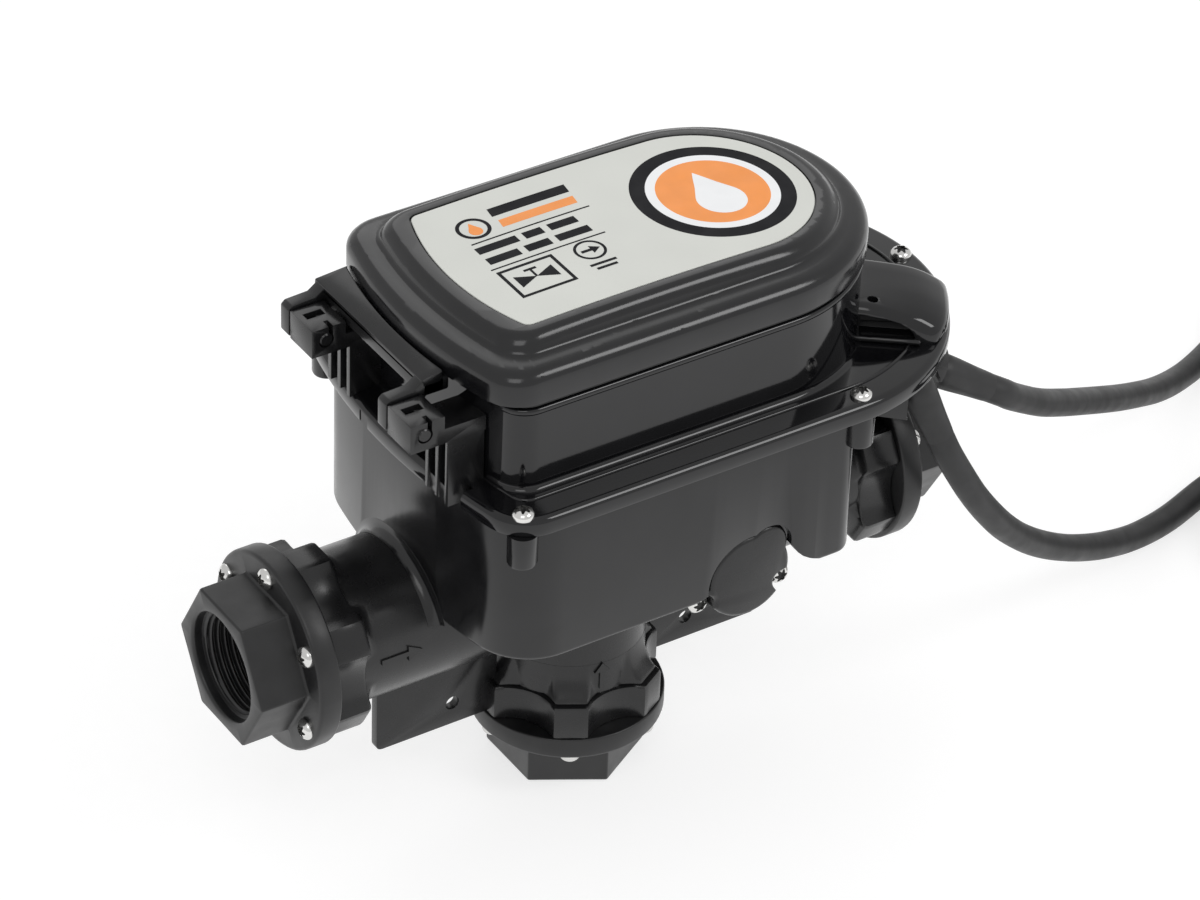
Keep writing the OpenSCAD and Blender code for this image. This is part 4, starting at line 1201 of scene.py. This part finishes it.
bar = plain(box((-67.5, -21.5, 168.2), (-58.3, 40.5, 173.6)))
top = plain(bar_top())
stand_in("hinge_bar", [eased(bar, 0.8), eased(top, 0.5), hook_part(BLOCKS_Y[0] + BLOCK_W + 0.8),
    hook_part(BLOCKS_Y[1] + BLOCK_W + 0.8)], HINGE, body="lid_body", slot="gloss_black", sharp=36)

# ---- cable entry


def entry_part():
    turn = at(63, 0, 120) @ spin(-44, "Z")
    entry = plain(moved(box((26, -16, 0), (52, 16, 19.9)), turn))
    join(entry, prism(circle(118.5, 0, 4.8, 40), 130, 137), box((90, -10, 130.2), (118.5, 2, 136.9)))
    seats = (frame_along(SUPPLY_SEAT, SUPPLY_TURN), frame_along(PUMP_SEAT, PUMP_TURN))
    join(entry, *(moved(lathe([(8, -reach), (8, 0)], 48), place) for place, reach in zip(seats, (14, 16))))
    cut(entry, *(moved(lathe([(8.5, 0), (8.5, 40)], 48), place) for place in seats))
    cut(entry, box((60, -60, 140), (140, 40, 170)))
    return eased(entry, 0.7, 2)


stand_in("cable_entry", [entry_part()], TUB_SATIN, slot="moulded_black", sharp=34)

# ---- check valve springs


def spring_piece(name, along, steps=150, turns=5, wire=0.5):
    """A helix with closed ends, spanning the length of the CAD spring along one axis."""
    low, high = (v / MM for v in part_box(name))
    start, length = low[along] + wire, high[along] - low[along] - 2 * wire
    line = []
    for i in range(steps + 1):
        a = TAU * turns * i / steps
        h = start + length * unit((i / steps - 0.12) / 0.76)
        u, v = 6 * cos(a), 6 * sin(a)
        line.append((h, v, RUN_Z - u) if along == 0 else (u, v, h))
    obj = stand_in(name, [sweep(line, wire, 10)], STEEL, sharp=60)
    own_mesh(obj)


spring_piece("mains_check_spring", 0)
spring_piece("pump_check_spring", 2)

# ---- control board parts

TOP = BOARD_Z + BOARD_T
CAPACITORS = ((-29, -16, 5, 13), (-17, -17, 4, 11), (-7, -17, 4, 11))


def standing_parts(places, profile, steps=40):
    """Lathed parts on the board, for (x, y, radius, height) places and a profile made from radius and height."""
    return [moved(lathe(profile(r, h), steps), at(x, y, TOP)) for x, y, r, h in places]


stand_in("transformer", [box((-40, 4, TOP), (-8, 31, TOP + 17))], POTTING, bevel=1.2)
mesh("transformer_rim", [box((-39, 5, TOP + 16.6), (-9, 30, TOP + 17.15))], SEAL, slot="potting_black", bevel=0.15)
stand_in("relays", [box((x, 12, TOP), (x + 19, 27.5, TOP + 15)) for x in (-2, 20)]
    + [box((x + 2, 14, TOP + 14.8), (x + 4.5, 15.2, TOP + 15.2)) for x in (-2, 20)], RELAY, bevel=0.7)
mesh("capacitors", standing_parts(CAPACITORS, lambda r, h: [(0, 0), (r - 0.2, 0), (r, 0.3), (r, 1.4), (r - 0.35, 1.9),
    (r, 2.4), (r, h - 0.5), (r - 0.5, h), (0, h)]), SLEEVE, sharp=40)
mesh("capacitor_tops", standing_parts(CAPACITORS, lambda r, h: [(0, h - 0.1), (r - 0.9, h - 0.1), (r - 1, h + 0.12),
    (0, h + 0.12)]), PLATED)
mesh("controller_chip", [box((6, -15, TOP + 0.4), (16, -5, TOP + 2))], POTTING, bevel=0.2)
mesh("chip_legs", [box((x, 1.27 * k - 15, TOP), (x + 1.2, 1.27 * k - 14.6, TOP + 1)) for k in range(8)
    for x in (5.2, 15.6)], PLATED)
RESISTOR = [(0, -3.4), (1.1, -3.2), (1.3, -2.4), (1, -1.6), (1, 1.6), (1.3, 2.4), (1.1, 3.2), (0, 3.4)]
mesh("resistors", [moved(lathe(RESISTOR, 24), at(24 + 5 * k, -9, TOP + 1.3) @ spin(90, "X")) for k in range(4)],
    CERAMIC, sharp=50)
FUSE = [(0, -8), (2.4, -8), (2.5, -7.7), (2.5, 7.7), (2.4, 8), (0, 8)]
mesh("fuse", [moved(lathe(FUSE, 32), at(34, -20, TOP + 3) @ spin(90, "Y"))], ACETAL)
mesh("fuse_clips", [box((x, -23, TOP), (x + 3.4, -17, TOP + 3.4)) for x in (25.6, 39)], PLATED, bevel=0.3)
mesh("terminal_screws", [moved(HEAD, at(-33 + 10 * k, -31, TOP + 9) @ Matrix.Scale(0.58, 4)) for k in range(6)],
    STEEL, sharp=45)


def wire(name, k, colour):
    """One conductor from the terminal block down to the cable duct."""
    x = -33 + 10 * k
    look = moulded("wire_" + name, colour, 0.4, (0.4, 0.2, 0.01), 0.08)
    line = [Vector(p) for p in ((x, -28, TOP + 4), (x, -24.5, TOP + 4.5), (x + 3, -22.5, TOP + 7 + 0.7 * k),
        (x + 12, -21.5 + 0.8 * k, TOP + 10 + 0.8 * k), (30, -22 + 1.4 * k, TOP + 9 + 0.9 * k),
        (50, -19 + 1.8 * k, TOP + 7 + 0.7 * k), (64, -15 + 2.2 * k, TOP + 5), (74, -12 + 2.4 * k, TOP + 2))]
    mesh("wire_" + name, [sweep(smooth_line(line, 5), 1.1, 12)], look, slot="potting_black", sharp=60)


for k, (name, colour) in enumerate((("brown", (0.1, 0.04, 0.015)), ("blue", (0.02, 0.06, 0.26)),
        ("green", (0.05, 0.2, 0.03)), ("black", (0.02, 0.02, 0.02)), ("grey", (0.25, 0.25, 0.25)))):
    wire(name, k, colour)

# ---- carried-over pieces

for entry in frame["record"]["subparts"]:
    piece = frame["nodes"].get(entry["node"])
    if piece is not None:
        piece.data.materials.clear()
        piece.data.materials.append(LOOKS[entry["material_slot"]][0])

# ---- stage


def make_stage():
    floor_look = moulded("floor_paper", (0.4, 0.4, 0.4), 0.8, (2, 0.02, 0.01), 0)
    paper = floor_look.node_tree.nodes["Principled BSDF"]
    paper.inputs["Emission Color"].default_value = (1, 1, 1, 1)
    paper.inputs["Emission Strength"].default_value = 0.68
    data = bpy.data.meshes.new("floor")
    s = 6
    data.from_pydata([(-s, -s, -0.0005), (s, -s, -0.0005), (s, s, -0.0005), (-s, s, -0.0005)], [], [(0, 1, 2, 3)])
    data.materials.append(floor_look)
    floor = add_object("floor", data)
    world = bpy.data.worlds.new("studio")
    world.use_nodes = True
    world.node_tree.nodes["Background"].inputs["Color"].default_value = (1, 1, 1, 1)
    world.node_tree.nodes["Background"].inputs["Strength"].default_value = 0.73
    bpy.context.scene.world = world
    for name, place, size, power in (("key", (-0.7, -0.9, 1.3), 0.7, 3), ("back", (0.5, 1.1, 1.1), 0.9, 2.2),
            ("edge", (0.7, -0.85, 1.1), 0.5, 4.2)):
        lamp = bpy.data.lights.new(name, "AREA")
        lamp.size = size
        lamp.energy = power
        obj = add_object(name, lamp)
        obj.location = place
        obj.rotation_euler = (Vector((0.05, 0, 0.1)) - Vector(place)).to_track_quat("-Z", "Y").to_euler()
    bpy.context.scene.view_settings.view_transform = "Standard"


make_stage()
